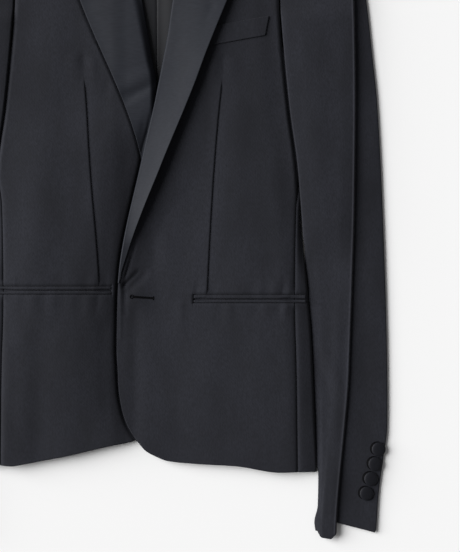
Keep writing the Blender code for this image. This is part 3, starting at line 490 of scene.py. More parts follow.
def back_height(x, y):
    """Middle of the back's wall: on the surface, and over the collar's fall at the neck."""
    near_neck = ease((125 - np.abs(x - NECK_X)) / 40)
    in_neck = ease((y - 395) / 25) * (1 - ease((y - 520) / 30))
    beside_seam = 2.0 * ease((x - CENTRE_BACK_X) / 18) * (1 - ease((x - 45) / 15))
    return BODY_WALL / 2 + 2.0 * near_neck * ease((y - 582) / 20) + beside_seam * in_neck


def settle_on_shoulder(height, x, y):
    """The front comes down on the back along the shoulder seam."""
    on_back = back_height(x, y) + BODY_WALL / 2 + 1.5 * LAYER_GAP + FRONT_WALL / 2
    share = 1 - ease((shoulder_y(x) - y) / 34)
    return np.maximum(height * (1 - share) + on_back * share, on_back)


def pocket_step(pocket, x, y):
    """How far the cloth steps down inside a pocket's mouth."""
    inside_x = np.minimum(x - pocket["x"][0], pocket["x"][1] - x)
    inside_y = np.minimum(y - pocket["low"], pocket["high"] - y)
    return POCKET_STEP * np.clip(np.minimum(inside_x, inside_y) + 0.5, 0, 1)


def near_mouth(pocket, y):
    """1 beside a pocket's mouth, falling to 0 above and below it."""
    return ease((32 - abs(y - pocket["slit"])) / 12)


def relief(x, y, table):
    """Soft folds and unevenness of a front, fading out where a sleeve lies on it."""
    clear = ease((smooth(SLEEVE_INNER, y) - 3 - np.abs(x)) / 14)
    return clear * (folds(x, y, table) + slack(x, y))


def beside_sleeve(x, y, fall, width):
    """Share of a front's swell left near the sleeve: it falls a little over the width, and the
    rest goes in the last few millimetres, where the cloth rolls down beside the sleeve."""
    past = x - smooth(SLEEVE_INNER, y) + TUCK
    return 1 - fall * ease((past + width) / (width - 4)) - (1 - fall) * ease((past + 4.2) / 4.2)


def below_chest(y):
    """Share of the fronts' swell left at a height; it ends under the shoulder."""
    return 1 - ease((y - 440) / 110)


def over_swell(x, y):
    """How far the upper front stands up before it falls away to the side."""
    strength = (0.5 + 0.5 * ease(y / 90)) * below_chest(y)
    return SWELL * strength * ease((x + 40) / 140) * beside_sleeve(x, y, 0.38, 30)


def under_swell(x, y):
    """How far the lower front stands up between the lap and its side seam."""
    beside = smooth(OVER_EDGE, y) - x
    above = ease((y - 335) / 60)
    at_roll = smooth(UNDER_EDGE, y) - x
    rise = (1 - above) * smooth(BESIDE_LAP, beside) + above * (6.6 * ease((at_roll + 5) / 11)
                                                         - 1.8 * ease((at_roll - 8) / 60))
    strength = (0.55 + 0.45 * ease(y / 110)) * below_chest(y)
    return rise * strength * beside_sleeve(-x, y, 0.42, 52)


def over_height(x, y, pocket=OVER_POCKET):
    """Middle of the upper front's wall, which clears the lower one."""
    from_edge = x - smooth(OVER_EDGE, y)
    rise = smooth(LAP_RISE, y)
    width = smooth(LAP_REACH, y)
    button = (x - FRONT_BUTTON[0]) ** 2 + (y - FRONT_BUTTON[1]) ** 2
    height = (OVER_LEVEL + rise * np.clip(1 - from_edge / width, 0, 1) ** 1.4
              + BULGE * np.exp(-(button / (2 * BULGE_SPREAD ** 2))))
    height = height + 0.9 * ease((x - 60) / 90) * (1 - ease((y - 222) / 34)) * ease((y + 6) / 40)
    height = height + over_swell(x, y) + relief(x, y, OVER_FOLDS)
    clearance = 1.95 + 1.5 * ease((y - 231) / 9)
    height = np.where(x < 7, np.maximum(height, under_height(x, y) + clearance), height)
    return settle_on_shoulder(height - pocket_step(pocket, x, y), x, y)


def under_height(x, y, pocket=UNDER_POCKET):
    """Middle of the lower front's wall, smooth where the upper one lies on it."""
    height = UNDER_LEVEL + 0.95 * ease((-20 - x) / 18) + 1.35 * ease((-45 - x) / 95)
    beside = smooth(OVER_EDGE, y) - x
    uncovered = ease((beside - 3) / 10)
    height = height + under_swell(x, y) + uncovered * relief(x, y, UNDER_FOLDS)
    height = np.maximum(height, UNDER_LOWEST)
    under_lapel = ease((x - smooth(UNDER_LAPEL, y) + 2.6) / 1.6)
    height = height - 1.9 * under_lapel * ease((y - 296) / 24) * (1 - ease((y - 505) / 20))
    return settle_on_shoulder(height - pocket_step(pocket, x, y), x, y)


def seam_trough(distance, y, pocket, trough):
    """How far the cloth beside a pressed seam sinks towards it, except at a pocket."""
    broad, broad_reach, narrow, narrow_reach = trough
    distance = np.maximum(distance, 0)
    depth = broad * np.exp(-distance / broad_reach) + narrow * np.exp(-distance / narrow_reach)
    return depth * ease((np.abs(y - pocket["slit"]) - 6) / 6) * (1 - ease((y - 380) / 22))


# ---------------------------------------------------------------- body

def front_levels(pocket, corner_y):
    """Rows of a front from hem to shoulder: heights at both edges, share of the hem's curve."""
    base = pocket["low"] - HEM_END
    levels = [(base + share * (corner_y - base), base * (1 - share), share) for share in HEM_SHARES]
    levels.append((base, base, 0.0))
    for edge in (pocket["low"], pocket["high"]):
        levels += [(edge - 0.5, edge - 0.5, 0.0), (edge + 0.5, edge + 0.5, 0.0)]
    lift = pocket["low"] - OVER_POCKET["low"]
    levels += [(inner + lift * (inner < 210), outer + lift * (outer < 210), 0.0)
               for inner, outer in FRONT_ROWS]
    return refined(levels, ROW_SPACING)


def front_outer_x(level, shift):
    """Side seam or armhole of a front, on the wearer's left."""
    return smooth(FRONT_OUTER, level) - shift * (1 - ease((level - 330) / 60))


def front_grid(side, edge, hem, dart, pocket, height, pocket_share):
    """A front's grid: rows from hem to shoulder, columns from front edge to side seam."""
    corner_y = min(y for y, _ in edge)
    rows = []
    for inner_y, outer_y, hem_share in front_levels(pocket, corner_y):
        wrapped = ease((inner_y - 196) / 9)
        under_collar = ease((inner_y - 552) / 10)
        inset = (FACING_WALL + 2 * LAYER_GAP) * wrapped + 4.5 * under_collar
        inner_x = smooth(edge, inner_y) + side * inset
        shift = 0.0 if side > 0 else LEFT_SEAM_SHIFT
        outer_x = side * (front_outer_x(outer_y, shift) - SEAM / 2)
        dart_y = inner_y + (outer_y - inner_y) * 0.55
        dart_x = smooth(dart, dart_y)
        mouth_x = inner_x + pocket_share * (dart_x - inner_x)
        mouth_x += near_mouth(pocket, inner_y) * (pocket["x"][side < 0] - mouth_x)
        tuck_x = side * min(smooth(SLEEVE_INNER, outer_y) - TUCK, side * outer_x - 9.0)
        x = np.concatenate((
            inner_x + side * EDGE_COLUMNS,
            np.linspace(inner_x + side * 7.8, mouth_x - side * 0.5, 40),
            mouth_x + side * np.array((-0.17, 0.17)),
            np.linspace(mouth_x + side * 0.5, dart_x - side * 4.8, 9),
            dart_x - side * DART_COLUMNS[::-1], (dart_x,), dart_x + side * DART_COLUMNS,
            np.linspace(dart_x + side * 5.0, tuck_x - side * 7.0, 17),
            tuck_x + side * TUCK_COLUMNS,
            np.linspace(tuck_x + side * 1.8, outer_x - side * 6.0, 6),
            outer_x - side * SEAM_COLUMNS))
        level = inner_y + (outer_y - inner_y) * (x - inner_x) / (outer_x - inner_x)
        straight = pocket["low"] - HEM_END
        y = np.where(hem_share > 0, straight + hem_share * (smooth(hem, x) - straight), level)
        past_dart = x - dart_x
        sewn = ease((DART_TOP - y) / 14) * ease((y - pocket["high"]) / 5)
        z = (height(x, y) - seam_trough(np.abs(outer_x - x), y, pocket, FRONT_TROUGH)
             + sewn * (0.35 * np.exp(-(past_dart / 7) ** 2) - 1.6 * ease((past_dart + 0.6) / 1.1)
                       * np.exp(-np.maximum(past_dart, 0) / 6)))
        rows.append(np.stack((x, y, z), axis=-1))
    rows += [rows[-1] + np.array(turn) for turn in SHOULDER_TURN]
    return np.array(rows)


def side_section(y, seam_x, seam_z, pocket):
    """One section of a side panel: over the top, round the fold and back along the floor.

    Returns the points and the station of each, by which the section leans.
    """
    floor = BODY_WALL / 2
    fold_x = smooth(SIDE_FOLD, y)
    mouth_end = pocket["x"][1]
    at_fold = pocket_step(pocket, fold_x, y)
    radius = smooth(FOLD_RADIUS, y) - at_fold / 3
    first_angle = math.radians(72)
    top_x = fold_x - radius + radius * math.cos(first_angle)
    first, second = (seam_x + share * (top_x - seam_x) for share in (0.35, 0.7))
    if seam_x < mouth_end < top_x:
        near = near_mouth(pocket, y)
        first += near * (mouth_end - 0.5 - first)
        second += near * (mouth_end + 0.5 - second)
    station = joined((0, 1, 2, 3), (6, 4, 5))
    x = np.interp(station, (0, 1, 2, 3), (seam_x, first, second, top_x))
    flat = seam_z + pocket_step(pocket, seam_x + 1, y)
    share = (x - seam_x) / (top_x - seam_x)
    low = floor + radius + radius * math.sin(first_angle) + at_fold
    z = flat + (low - flat) * np.clip(share, 0, 1) ** 1.4 - pocket_step(pocket, x, y)
    z = z - seam_trough(x - seam_x, y, pocket, SIDE_TROUGH) * (1 - ease(share))
    angle = np.linspace(first_angle, -math.pi / 2, 15)[1:]
    under = np.linspace(0, 1, 22)[1:]
    centre_x = fold_x - radius
    x = np.concatenate((x, centre_x + radius * np.cos(angle), np.full(len(under), centre_x)))
    z = np.concatenate((z, floor + radius + radius * np.sin(angle), np.full(len(under), floor)))
    station = np.concatenate((station, np.linspace(3, 9, 15)[1:], 9 + 2 * under))
    return np.stack((x, np.full_like(x, y), z), axis=-1), station


def side_grid(shift, hem_y, pocket, height):
    """A side panel's grid, drawn on the wearer's left; the other one is mirrored."""
    straight = pocket["low"] - HEM_END
    rows = []
    for _, level, share in front_levels(pocket, hem_y):
        if level > SIDE_TOP_Y:
            break
        y = straight + share * (hem_y - straight) if share else level
        seam_x = front_outer_x(level, shift) + SEAM / 2
        row, station = side_section(y, seam_x, height(seam_x, y), pocket)
        lean = ease((level - 345) / (SIDE_TOP_Y - 345))
        row[:, 1] += np.interp(station, (0, 3, 9, 11), (0, 8, 11, 22)) * lean
        row[:, 1] += share * np.interp(station, (9, 11), (0, 4.6))
        back_x = smooth(BACK_OUTER, row[-1, 1]) + SEAM
        under = station > 9
        start = row[~under][-1, 0]
        row[under, 0] = start + (back_x - start) * (station[under] - 9) / 2
        rows.append(row)
    return np.array(rows)


def back_grid(side):
    """A back's grid, flat on the surface: centre-back seam to side seam, hem to shoulder."""
    centre = CENTRE_BACK_X + side * SEAM / 10
    neck = NECK_X + side * NECK_COLUMN
    rows = []
    for y in joined((0, 540, 545, 640), (90, 1, 39)):
        outer = smooth(BACK_OUTER, y) - 3 * SEAM
        x = joined((centre, neck, side * outer), (19, 33))
        from_neck = np.abs(x - NECK_X)
        highest = np.where(from_neck < BACK_NECK[-1][0], smooth(BACK_NECK, from_neck),
                           shoulder_y(x) - 1.3)
        level = np.full_like(x, y) if y < 550 else 545 + (highest - 545) * (y - 545) / (640 - 545)
        level = level + max(0, 1 - y / 80) * smooth(BACK_HEM, x)
        rows.append(np.stack((x, level, back_height(x, level)), axis=-1))
    return np.array(rows)


# ---------------------------------------------------------------- lapels and collar

def lapel_grid(side, edge, outline, lift, height, creases):
    """A satin facing from the roll line, where it turns down, out to its free edge."""
    clearance = FRONT_WALL / 2 + LAYER_GAP + FACING_WALL / 2
    share = joined((0, GORGE_CORNER, 1), (21, 14))[1:]
    angle = np.radians(np.linspace(180, 90, 9))
    rows = []
    for roll_y in np.arange(outline[0][0], GORGE_TOP + 0.1, LAPEL_ROWS):
        rise = max(roll_y - STRAIGHT_TOP, 0) / (GORGE_TOP - STRAIGHT_TOP)
        outer_y = min(roll_y, STRAIGHT_TOP) + rise * (PEAK_Y - STRAIGHT_TOP)
        roll_x = smooth(edge, roll_y)
        outer_x = smooth(outline, outer_y)
        wrap = side * LAPEL_WRAP * min(1.0, abs(outer_x - roll_x) / (LAPEL_WRAP + 3.0))
        start = roll_x + wrap
        arc_x = start + wrap * np.cos(angle)
        arc_z = clearance * np.sin(angle)
        x = np.concatenate((arc_x, start + (outer_x - start) * share))
        s = np.concatenate((np.zeros(len(angle)), share))
        dip = np.where(s < GORGE_CORNER, s / GORGE_CORNER, (1 - s) / (1 - GORGE_CORNER))
        y = roll_y + (outer_y - roll_y) * s - GORGE_DIP * rise ** 2 * dip
        base = height(x, y, NO_POCKET)
        up = np.concatenate((arc_z, np.full(len(share), clearance))) + smooth(lift, y) * s ** 1.15
        soft = folds(x, y, creases) * ease(np.arange(len(x)) / len(angle))
        if side < 0:  # the lower lapel's roll stands up above the closing
            soft = soft + 2.4 * ease((y - 320) / 50) * ease(s / 0.12) * (1 - s) ** 1.2
        up = np.maximum(up + soft, np.minimum(up, clearance - 0.2))
        rows.append(np.stack((x, y, base + up), axis=-1))
    return np.array(rows)


def collar_section(along):
    """One section: a hairpin of stand and fall about the fold's centre line."""
    fold_x, fold_y, fold_z, aim, stand_out, stand_z, fall_out, fall_z = (
        smooth([(row[0], row[column]) for row in COLLAR], along) for column in range(1, 9))
    radius = COLLAR_WALL / 2 + LAYER_GAP / 2 + 0.05

    def run(out, height, turn):
        """Direction and length of a straight run from the bend to an edge."""
        reach = math.hypot(out, height - fold_z)
        heading = math.atan2(height - fold_z, out)
        if heading > math.pi / 2:
            heading -= math.tau
        return heading + turn * math.asin(radius / reach), math.sqrt(reach ** 2 - radius ** 2)

    stand, stand_length = run(stand_out, stand_z, 1)
    fall, fall_length = run(fall_out, fall_z, -1)
    bend = np.linspace(stand - math.pi / 2, fall - 1.5 * math.pi, 13)
    bend = np.stack((np.cos(bend), np.sin(bend)), axis=-1) * radius
    stand_run = [bend[0] + np.array((math.cos(stand), math.sin(stand))) * stand_length * s
                 for s in np.linspace(1, 0, 9)[:-1]]
    fall_run = [bend[-1] + np.array((math.cos(fall), math.sin(fall))) * fall_length * s
                for s in np.linspace(0, 1, 15)[1:]]
    out, up = np.concatenate((stand_run, bend, fall_run)).T
    heading = math.radians(aim)
    return np.stack((fold_x + out * math.cos(heading), fold_y + out * math.sin(heading),
                     fold_z + up), axis=-1)


def collar_grid():
    """The collar from the lapping side's gorge to the other one, alike on both sides."""
    half = [collar_section(along) for along in np.linspace(0, 1, 81)]
    other = [(row * (-1, 1, 1) + (2 * NECK_X, 0, 0)) for row in reversed(half[:-1])]
    return np.array(half + other)


# ---------------------------------------------------------------- sleeves

def over_body(y):
    """How far a sleeve has passed from beside the body to over it, from 0 to 1."""
    return ease((y - 215) / 46)


def near_head(y):
    """How near a height is to the sleeve's head, where its folds grow thin."""
    return ease((y - 530) / 64)


def climb(x, y, bridge):
    """How far a sleeve is raised where it lies over the edge of the body.

    The upper layer, where bridge is 1, spans the step and comes down all the way to the pleat.
    """
    height = BODY_HEIGHT * over_body(y) - 3.9 * ease((y - 472) / 20)
    under = smooth(SIDE_FOLD, y) + CLIMB_START
    start = under + bridge * (smooth(SLEEVE_INNER, y) + 4 - under)
    run = CLIMB_RUN + bridge * (smooth(SLEEVE_CREASE, y) - 2 - start - CLIMB_RUN)
    share = np.clip((x - start) / run, 0, 1)
    return height * (1 - ease(share) - bridge * (share ** 1.6 - ease(share)))


def pleat_points(depth, turn):
    """The pleat in section: a bend by the given turn, a run of its depth and a bend back.

    Returns x, z and station of each point.
    """
    bends = 9
    x, z, heading = 0.0, 0.0, 0.0
    points = [(x, z, 10.0)]
    step = math.radians(turn) / bends
    for sign, first in ((-1, 10.0), (1, 14.0)):
        for bend in range(bends):
            chord = 2 * PLEAT_RADIUS * math.sin(step / 2) + 0.75 / bends * (1 - turn / 180)
            heading += sign * step / 2
            x += chord * math.cos(heading)
            z += chord * math.sin(heading)
            heading += sign * step / 2
            points.append((x, z, first + 3 * (bend + 1) / bends))
        if sign < 0:
            for share in range(1, 6):
                points.append((x + depth * share / 5 * math.cos(heading),
                               z + depth * share / 5 * math.sin(heading), 13 + share / 5))
            x, z, _ = points[-1]
    return np.array(points)


def fold_arc(x, radius, angles, stations):
    """Points round a fold that rests on the surface: x, z and station."""
    return [(x + radius * math.cos(a), SLEEVE_WALL / 2 + radius + radius * math.sin(a), station)
            for a, station in zip(np.radians(angles), stations)]


def sleeve_section(y):
    """Section of the top sleeve at one height: x, z and station, from its tail under the arm
    round the inner fold, over the pleat and down at the outer fold."""
    inner, outer, crease, depth, turn, inner_radius = (
        smooth(table, y) for table in (SLEEVE_INNER, SLEEVE_OUTER, SLEEVE_CREASE, PLEAT_DEPTH,
                                       PLEAT_TURN, INNER_RADIUS))
    outer_radius = OUTER_RADIUS - 0.3 * near_head(y)
    floor = SLEEVE_WALL / 2
    dark = floor + 2 * outer_radius
    pleat = pleat_points(depth, turn)
    pleat[:, 0] += crease - PLEAT_RADIUS * math.sin(math.radians(min(turn, 90)))
    pleat[:, 1] += dark - pleat[-1, 1]
    start_x = inner + INNER_CLEARANCE + inner_radius
    tail = [(start_x + TAIL * (1 - 0.6 * near_head(y)) * s, floor, 2 - 2 * s)
            for s in (1.0, 0.75, 0.5, 0.25)]
    fold = fold_arc(start_x, inner_radius, np.linspace(-90, -270, 13), np.linspace(2, 6, 13))
    low = floor + 2 * inner_radius
    run = pleat[0, 0] - depth - 2.0 - start_x
    light = [(start_x + run * s, low + (pleat[0, 1] - low) * s,
              np.interp(s, (0, 0.3, 0.6, 1), (6, 7, 8, 9))) for s in np.linspace(0, 1, 15)[1:]]
    end = light[-1]
    light += [(end[0] + (pleat[0, 0] - end[0]) * s, end[1], 9 + s)
              for s in 1 - (1 - np.linspace(0, 1, 13)[1:-1]) ** 1.8]
    end_x = outer - outer_radius
    dark_run = [(pleat[-1, 0] + (end_x - pleat[-1, 0]) * s, dark, 17 + 2 * s)
                for s in np.linspace(0, 1, 14)[1:]]
    curl = fold_arc(end_x, outer_radius, np.linspace(90, SLEEVE_SEAM_ANGLE, 8)[1:],
                    np.linspace(19, 22, 8)[1:])
    return np.concatenate((tail, fold, light, pleat, dark_run, curl))


def under_section(y):
    """Section of the under sleeve at one height: x, z and station."""
    outer_radius = OUTER_RADIUS - 0.3 * near_head(y)
    start = (smooth(SLEEVE_INNER, y) + INNER_CLEARANCE + smooth(INNER_RADIUS, y)
             + TAIL * (1 - 0.6 * near_head(y)) + 3 * SEAM)
    end_x = smooth(SLEEVE_OUTER, y) - outer_radius
    run = [(start + (end_x - start) * s, SLEEVE_WALL / 2, 5 * s)
           for s in np.linspace(0, 1, 30)[:-1]]
    return np.array(run + fold_arc(end_x, outer_radius, np.linspace(-90, -SLEEVE_SEAM_ANGLE, 8),
                                   np.linspace(5, 8, 8)))


def sleeve_relief(x, y, station):
    """Soft folds on the two layers of a sleeve that show, and the pressed edge of the pleat."""
    on_light = np.interp(station, (5, 7, 10, 10.6), (0, 1, 1, 0))
    on_dark = np.interp(station, (17.2, 18, 19, 20), (0, 1, 1, 0))
    below_shoulder = 1 - ease((y - 500) / 60)
    crease = smooth(SLEEVE_CREASE, y)
    pressed = 0.55 * np.exp(-((x - crease + 1.0) / 0.8) ** 2) * below_shoulder
    stations, beside, above = FULLNESS
    puff = ((1 - over_body(y)) * np.interp(station, stations, beside)
            + over_body(y) * np.interp(station, stations, above)) * below_shoulder
    puff = puff * (0.2 + 0.8 * ease((y + 56) / 90))
    return (on_light * (folds(x, y, SLEEVE_FOLDS) + slack(x, y))
            + on_dark * folds(x, y, OUTER_FOLDS) + on_light * pressed + puff)


def outer_strip_top(x, y):
    """Top of the sleeve beyond the pleat at one place."""
    xs, z, station = sleeve_section(y).T
    z = z + sleeve_relief(xs, np.full_like(xs, y), station) + SLEEVE_WALL / 2
    strip = (station >= 17) & (station <= 19)
    return float(np.interp(x, xs[strip], z[strip]))


def tuck_under_body(y):
    """How far the sleeve's inner fold slips in under the roll at the body's side."""
    roll = smooth(FOLD_RADIUS, y) + BODY_WALL / 2
    level = SLEEVE_WALL / 2 + smooth(INNER_RADIUS, y)
    set_back = roll - math.sqrt(roll ** 2 - (roll - level) ** 2)
    gap = (smooth(SLEEVE_INNER, y) + INNER_CLEARANCE - SLEEVE_WALL / 2
           - smooth(SIDE_FOLD, y) - BODY_WALL / 2)
    return max(0.0, gap + set_back - 0.35) * ease((y + 2) / 8) * (1 - ease((y - 216) / 24))


def sleeve_grid(section, cuff, shows):
    """Rows down the sleeve; below CUFF_START they lean to the hem's height at each point."""
    rows = []
    for y in joined((SLEEVE_TOP, CAP_START, CUFF_START), (57, 134)):
        x, z, station = section(y).T
        x = x - shows * tuck_under_body(y) * np.interp(station, (1.2, 2.6, 4.2, 5.6), (0, 1, 1, 0))
        bridge = np.interp(station, (3, 4, 5, 6, 10, 10.01), (0, 0.3, 0.7, 1, 1, 0)) * shows
        z = z + climb(x, y, bridge) + shows * sleeve_relief(x, y, station)
        rows.append(np.stack((x, np.full_like(x, y), z), axis=-1))
    for share in np.linspace(0, 1, 11)[1:]:
        lowest = CUFF_START + share * (CUFF_LEVEL - CUFF_START)
        x, z, station = section(lowest).T
        y = CUFF_START + share * (np.interp(station, *cuff) - CUFF_START)
        z = z + shows * sleeve_relief(x, np.full_like(x, lowest), station)
        rows.append(np.stack((x, y, z), axis=-1))
    return np.array(rows)


# ---------------------------------------------------------------- pockets, buttonhole and buttons

def jet_grid(pocket, height, low, high, gapes):
    """One jet: a narrow piped strip that lies in the step round the pocket's mouth.

    gapes is 1 or -1, the way its edge at the slit draws back near both ends.
    """
    ends = (pocket["x"][0] + 1.0, min(pocket["x"][1] - 1.0, JET_END))
    x = np.linspace(*ends, 111)[None, :] + np.zeros((9, 1))
    share = np.linspace(0, 1, 9)[:, None]
    visible = (pocket["x"][0], min(pocket["x"][1], JET_SEEN))
    from_end = np.minimum(x - visible[0], visible[1] - x)
    gape = 0.75 * np.exp(-((from_end - 9) / 7) ** 2)
    y = low + (high - low) * share + gapes * gape * (share if gapes < 0 else 1 - share)
    piped = 0.4 * np.sin(np.pi * share) ** 0.7 + 0.07 * np.sin(x / 3.1 + 2 * np.sin(x / 9))
    z = height(x, y) + FRONT_WALL / 2 + SEAM + JET_WALL / 2 + JET_RISE + piped
    return np.stack((x, y, z), axis=-1)


def welt_grid():
    """The breast welt: a leaning band on the lapping front."""
    left, low = WELT["low_left"]
    run = np.linspace(0, 1, 49)[None, :]
    rise = np.linspace(0, 1, 19)[:, None]
    x = left + run * WELT["length"] + rise * WELT["height"] * WELT["lean"]
    y = low + run * WELT["length"] * WELT["slope"] + rise * WELT["height"]
    z = over_height(x, y) + FRONT_WALL / 2 + SEAM + JET_WALL / 2
    return np.stack((x, y, z), axis=-1)


def rings(first, count, sides):
    """Faces between rings of points that follow each other from the first point."""
    return [(start + k, start + (k + 1) % sides, start + sides + (k + 1) % sides, start + sides + k)
            for start in range(first, first + (count - 1) * sides, sides) for k in range(sides)]


def covered_button(name, node, place, radius, height, tilt):
    """A button mould with cloth drawn over it, on a short neck with a stay of near-black twist
    behind it. The stay is shifted out towards the sleeve's crease so that its rim shows as a
    dark crescent of painted shade beside the button; all of it leans outwards by the tilt."""
    sides = BUTTON_SIDES
    out = math.copysign(1, place[0])
    turn = math.tau * np.arange(sides) / sides
    points = [(0.0, 0.0, 0.0)]
    for reach, level in BUTTON_PROFILE:
        gathered = radius * reach * (1 + 0.012 * np.sin(14 * turn) * (0.25 < level < 0.75))
        points += zip(gathered * np.cos(turn), gathered * np.sin(turn), [level * height] * sides)
    points = np.array(points + [(0.0, 0.0, height)])
    # The stay's points: shifted out and near-black, they paint a crescent of shade.
    behind = points[:, 2] < 0.145 * height
    points[behind, :2] += np.array(STAY_SHADE_SHIFT) * (out, 1) * (tilt > 0)
    points[:, 2] += (radius - points[:, 0] * out) * math.tan(tilt)
    last = len(points) - 1
    faces = ([(0, 1 + (k + 1) % sides, 1 + k) for k in range(sides)]
             + rings(1, len(BUTTON_PROFILE), sides)
             + [(last - sides + k, last - sides + (k + 1) % sides, last) for k in range(sides)])
    piece = add_piece(name, node, COVERED, points + place, faces)
    # The stay and the underside take the near-black twist, which is the painted shade that peeps
    # out.
    for polygon in piece.data.polygons[:4 * sides]:
        polygon.material_index = 1


def buttonhole(name):
    """Purl stitches round the buttonhole: a knotted cord from one side of the slit to the other,
    round the eye near the front's edge, with a bar across the other end. A near-black cord down
    the middle of the slit is partly the dark cloth seen through it and partly painted shade."""
    start = np.array(BUTTONHOLE[0])
    along = np.array(BUTTONHOLE[1]) - start
    length = math.hypot(*along)
    along /= length
    across = np.array((-along[1], along[0]))
    path = [(t, -HOLE_SIDE) for t in np.arange(length, EYE_END, -STITCH)]
    path += [(EYE_MIDDLE + EYE_RADIUS * math.cos(a), EYE_RADIUS * math.sin(a))
             for a in np.radians(np.arange(-38, -323, -7))]
    path += [(t, HOLE_SIDE) for t in np.arange(EYE_END, length, STITCH)]
    bar = [(length + 0.5, t) for t in np.arange(-BAR_REACH, BAR_REACH + 0.01, STITCH)]
    # A near-black cord down the middle of the slit: the dark cloth seen through it, and painted
    # shade.
    gimp_and_slit_shade = [(t, 0.0) for t in np.arange(0.1, length, STITCH)]
    points, faces, sides = [], [], 8
    turn = math.tau * np.arange(sides) / sides
    for line, size in ((path, PURL_SIZE), (bar, BAR_SIZE), (gimp_and_slit_shade, GIMP_AND_SLIT_SHADE_SIZE)):
        first, count = len(points), len(line)
        flat = start + np.array(line) @ (along, across)
        height = over_height(flat[:, 0], flat[:, 1]) + FRONT_WALL / 2
        ahead = unit(np.gradient(flat, axis=0))
        for number, ((x, y), z, way) in enumerate(zip(flat, height, ahead)):
            from_end = min(number, count - 1 - number)
            knot = size * (1 + 0.2 * math.sin(math.tau * number / 4))
            knot *= min(1, 0.35 + 0.3 * from_end)
            reach = knot * np.cos(turn)
            points += zip(x - way[1] * reach, y + way[0] * reach, z + 0.1 + knot * np.sin(turn))
        faces += [ring[:1] + ring[:0:-1] for ring in rings(first, count, sides)]
        last = first + (count - 1) * sides
        faces += [tuple(range(first, first + sides)), tuple(range(last + sides - 1, last - 1, -1))]
    add_piece(name, None, STITCHED, points, faces)


# ---------------------------------------------------------------- materials

def from_hex(code):
    """Linear red, green and blue of an sRGB colour such as "8A8F99"."""
    parts = [int(code[k:k + 2], 16) / 255 for k in (0, 2, 4)]
    return tuple(c / 12.92 if c <= 0.04045 else ((c + 0.055) / 1.055) ** 2.4 for c in parts)


def add_node(tree, kind, settings, links=()):
    """Adds a shader node, sets its inputs and properties and links its inputs to their sources."""
    made = tree.nodes.new(kind)
    for name, value in settings.items():
        if name in made.inputs:
            made.inputs[name].default_value = value
        else:
            setattr(made, name, value)
    for name, source in dict(links).items():
        tree.links.new(source, made.inputs[name])
    return made


def new_surface(name, settings):
    """An empty material, its nodes, its shader with what stays constant, and the coordinates."""
    material = bpy.data.materials.new(name)
    material.use_nodes = True
    tree = material.node_tree
    tree.nodes.clear()
    shader = add_node(tree, "ShaderNodeBsdfPrincipled", {"Metallic": 0.0, **settings})
    add_node(tree, "ShaderNodeOutputMaterial", {}, {"Surface": shader.outputs["BSDF"]})
    place = add_node(tree, "ShaderNodeTexCoord", {})
    return material, tree, shader, {"Vector": place.outputs["Object"]}


def finish_surface(tree, shader, reliefs, colour=None, shade=None, shades=(), rough=None,
                   roughness=()):
    """Raises a surface by its reliefs, each a pattern, strength and depth in metres, shades its
    colour by a pattern's range and brightness, and spreads its roughness by another pattern."""
    below = {}
    for pattern, strength, depth in reliefs:
        bump = add_node(tree, "ShaderNodeBump", {"Strength": strength, "Distance": depth},
                        {"Height": pattern.outputs["Fac"], **below})
        below = {"Normal": bump.outputs["Normal"]}
    tree.links.new(below["Normal"], shader.inputs["Normal"])
    if shade:
        limits = dict(zip(("From Min", "From Max", "To Min", "To Max"), shades))
        value = add_node(tree, "ShaderNodeMapRange", limits, {"Value": shade.outputs[0]})
        tint = add_node(tree, "ShaderNodeHueSaturation", {"Color": (*colour, 1.0)},
                        {"Value": value.outputs["Result"]})
        tree.links.new(tint.outputs["Color"], shader.inputs["Base Color"])
    if rough:
        limits = dict(zip(("To Min", "To Max"), roughness))
        spread = add_node(tree, "ShaderNodeMapRange", limits, {"Value": rough.outputs["Fac"]})
        tree.links.new(spread.outputs["Result"], shader.inputs["Roughness"])


def made_once(build):
    """A material is built by the first piece that needs it and shared by the rest."""
    def find():
        name = build.__name__
        return bpy.data.materials.get(name) or build(name)
    return find


@made_once
def pressed_worsted_wool(name):
    """Worsted wool, a fine twill of combed yarn, cloth-finished and pressed.

    To the eye: nearly matt black-grey, a little paler where the light meets the nap, with a faint
    mottle and a diagonal rib. The real twill has a line every 0.7 mm; it is drawn every 2.2 mm
    so that it shows.
    """
    material, tree, shader, place = new_surface(name, {
        "IOR": 1.54, "Specular IOR Level": 0.16, "Sheen Weight": 0.08, "Sheen Roughness": 0.45})
    longer = add_node(tree, "ShaderNodeMapping", {"Scale": (1.0, 0.4, 1.0)}, place)
    longer = {"Vector": longer.outputs["Vector"]}
    fleck = add_node(tree, "ShaderNodeTexNoise", {"Scale": 760.0, "Detail": 2.0}, longer)
    cloud = add_node(tree, "ShaderNodeTexNoise", {"Scale": 45.0, "Detail": 4.0}, longer)
    twill = add_node(tree, "ShaderNodeTexWave", {"Scale": 202.0, "Distortion": 1.2, "Detail": 1.0,
                                                 "bands_direction": "DIAGONAL"}, place)
    both = add_node(tree, "ShaderNodeMath", {"operation": "MULTIPLY"})
    tree.links.new(fleck.outputs["Fac"], both.inputs[0])
    tree.links.new(cloud.outputs["Fac"], both.inputs[1])
    finish_surface(tree, shader, ((fleck, 0.35, 0.00022), (twill, 0.18, 0.00015)),
                   bpy.context.scene.tuxedo_cloth.wool, both, (0.12, 0.40, 0.76, 1.24),
                   cloud, (0.78, 0.92))
    return material


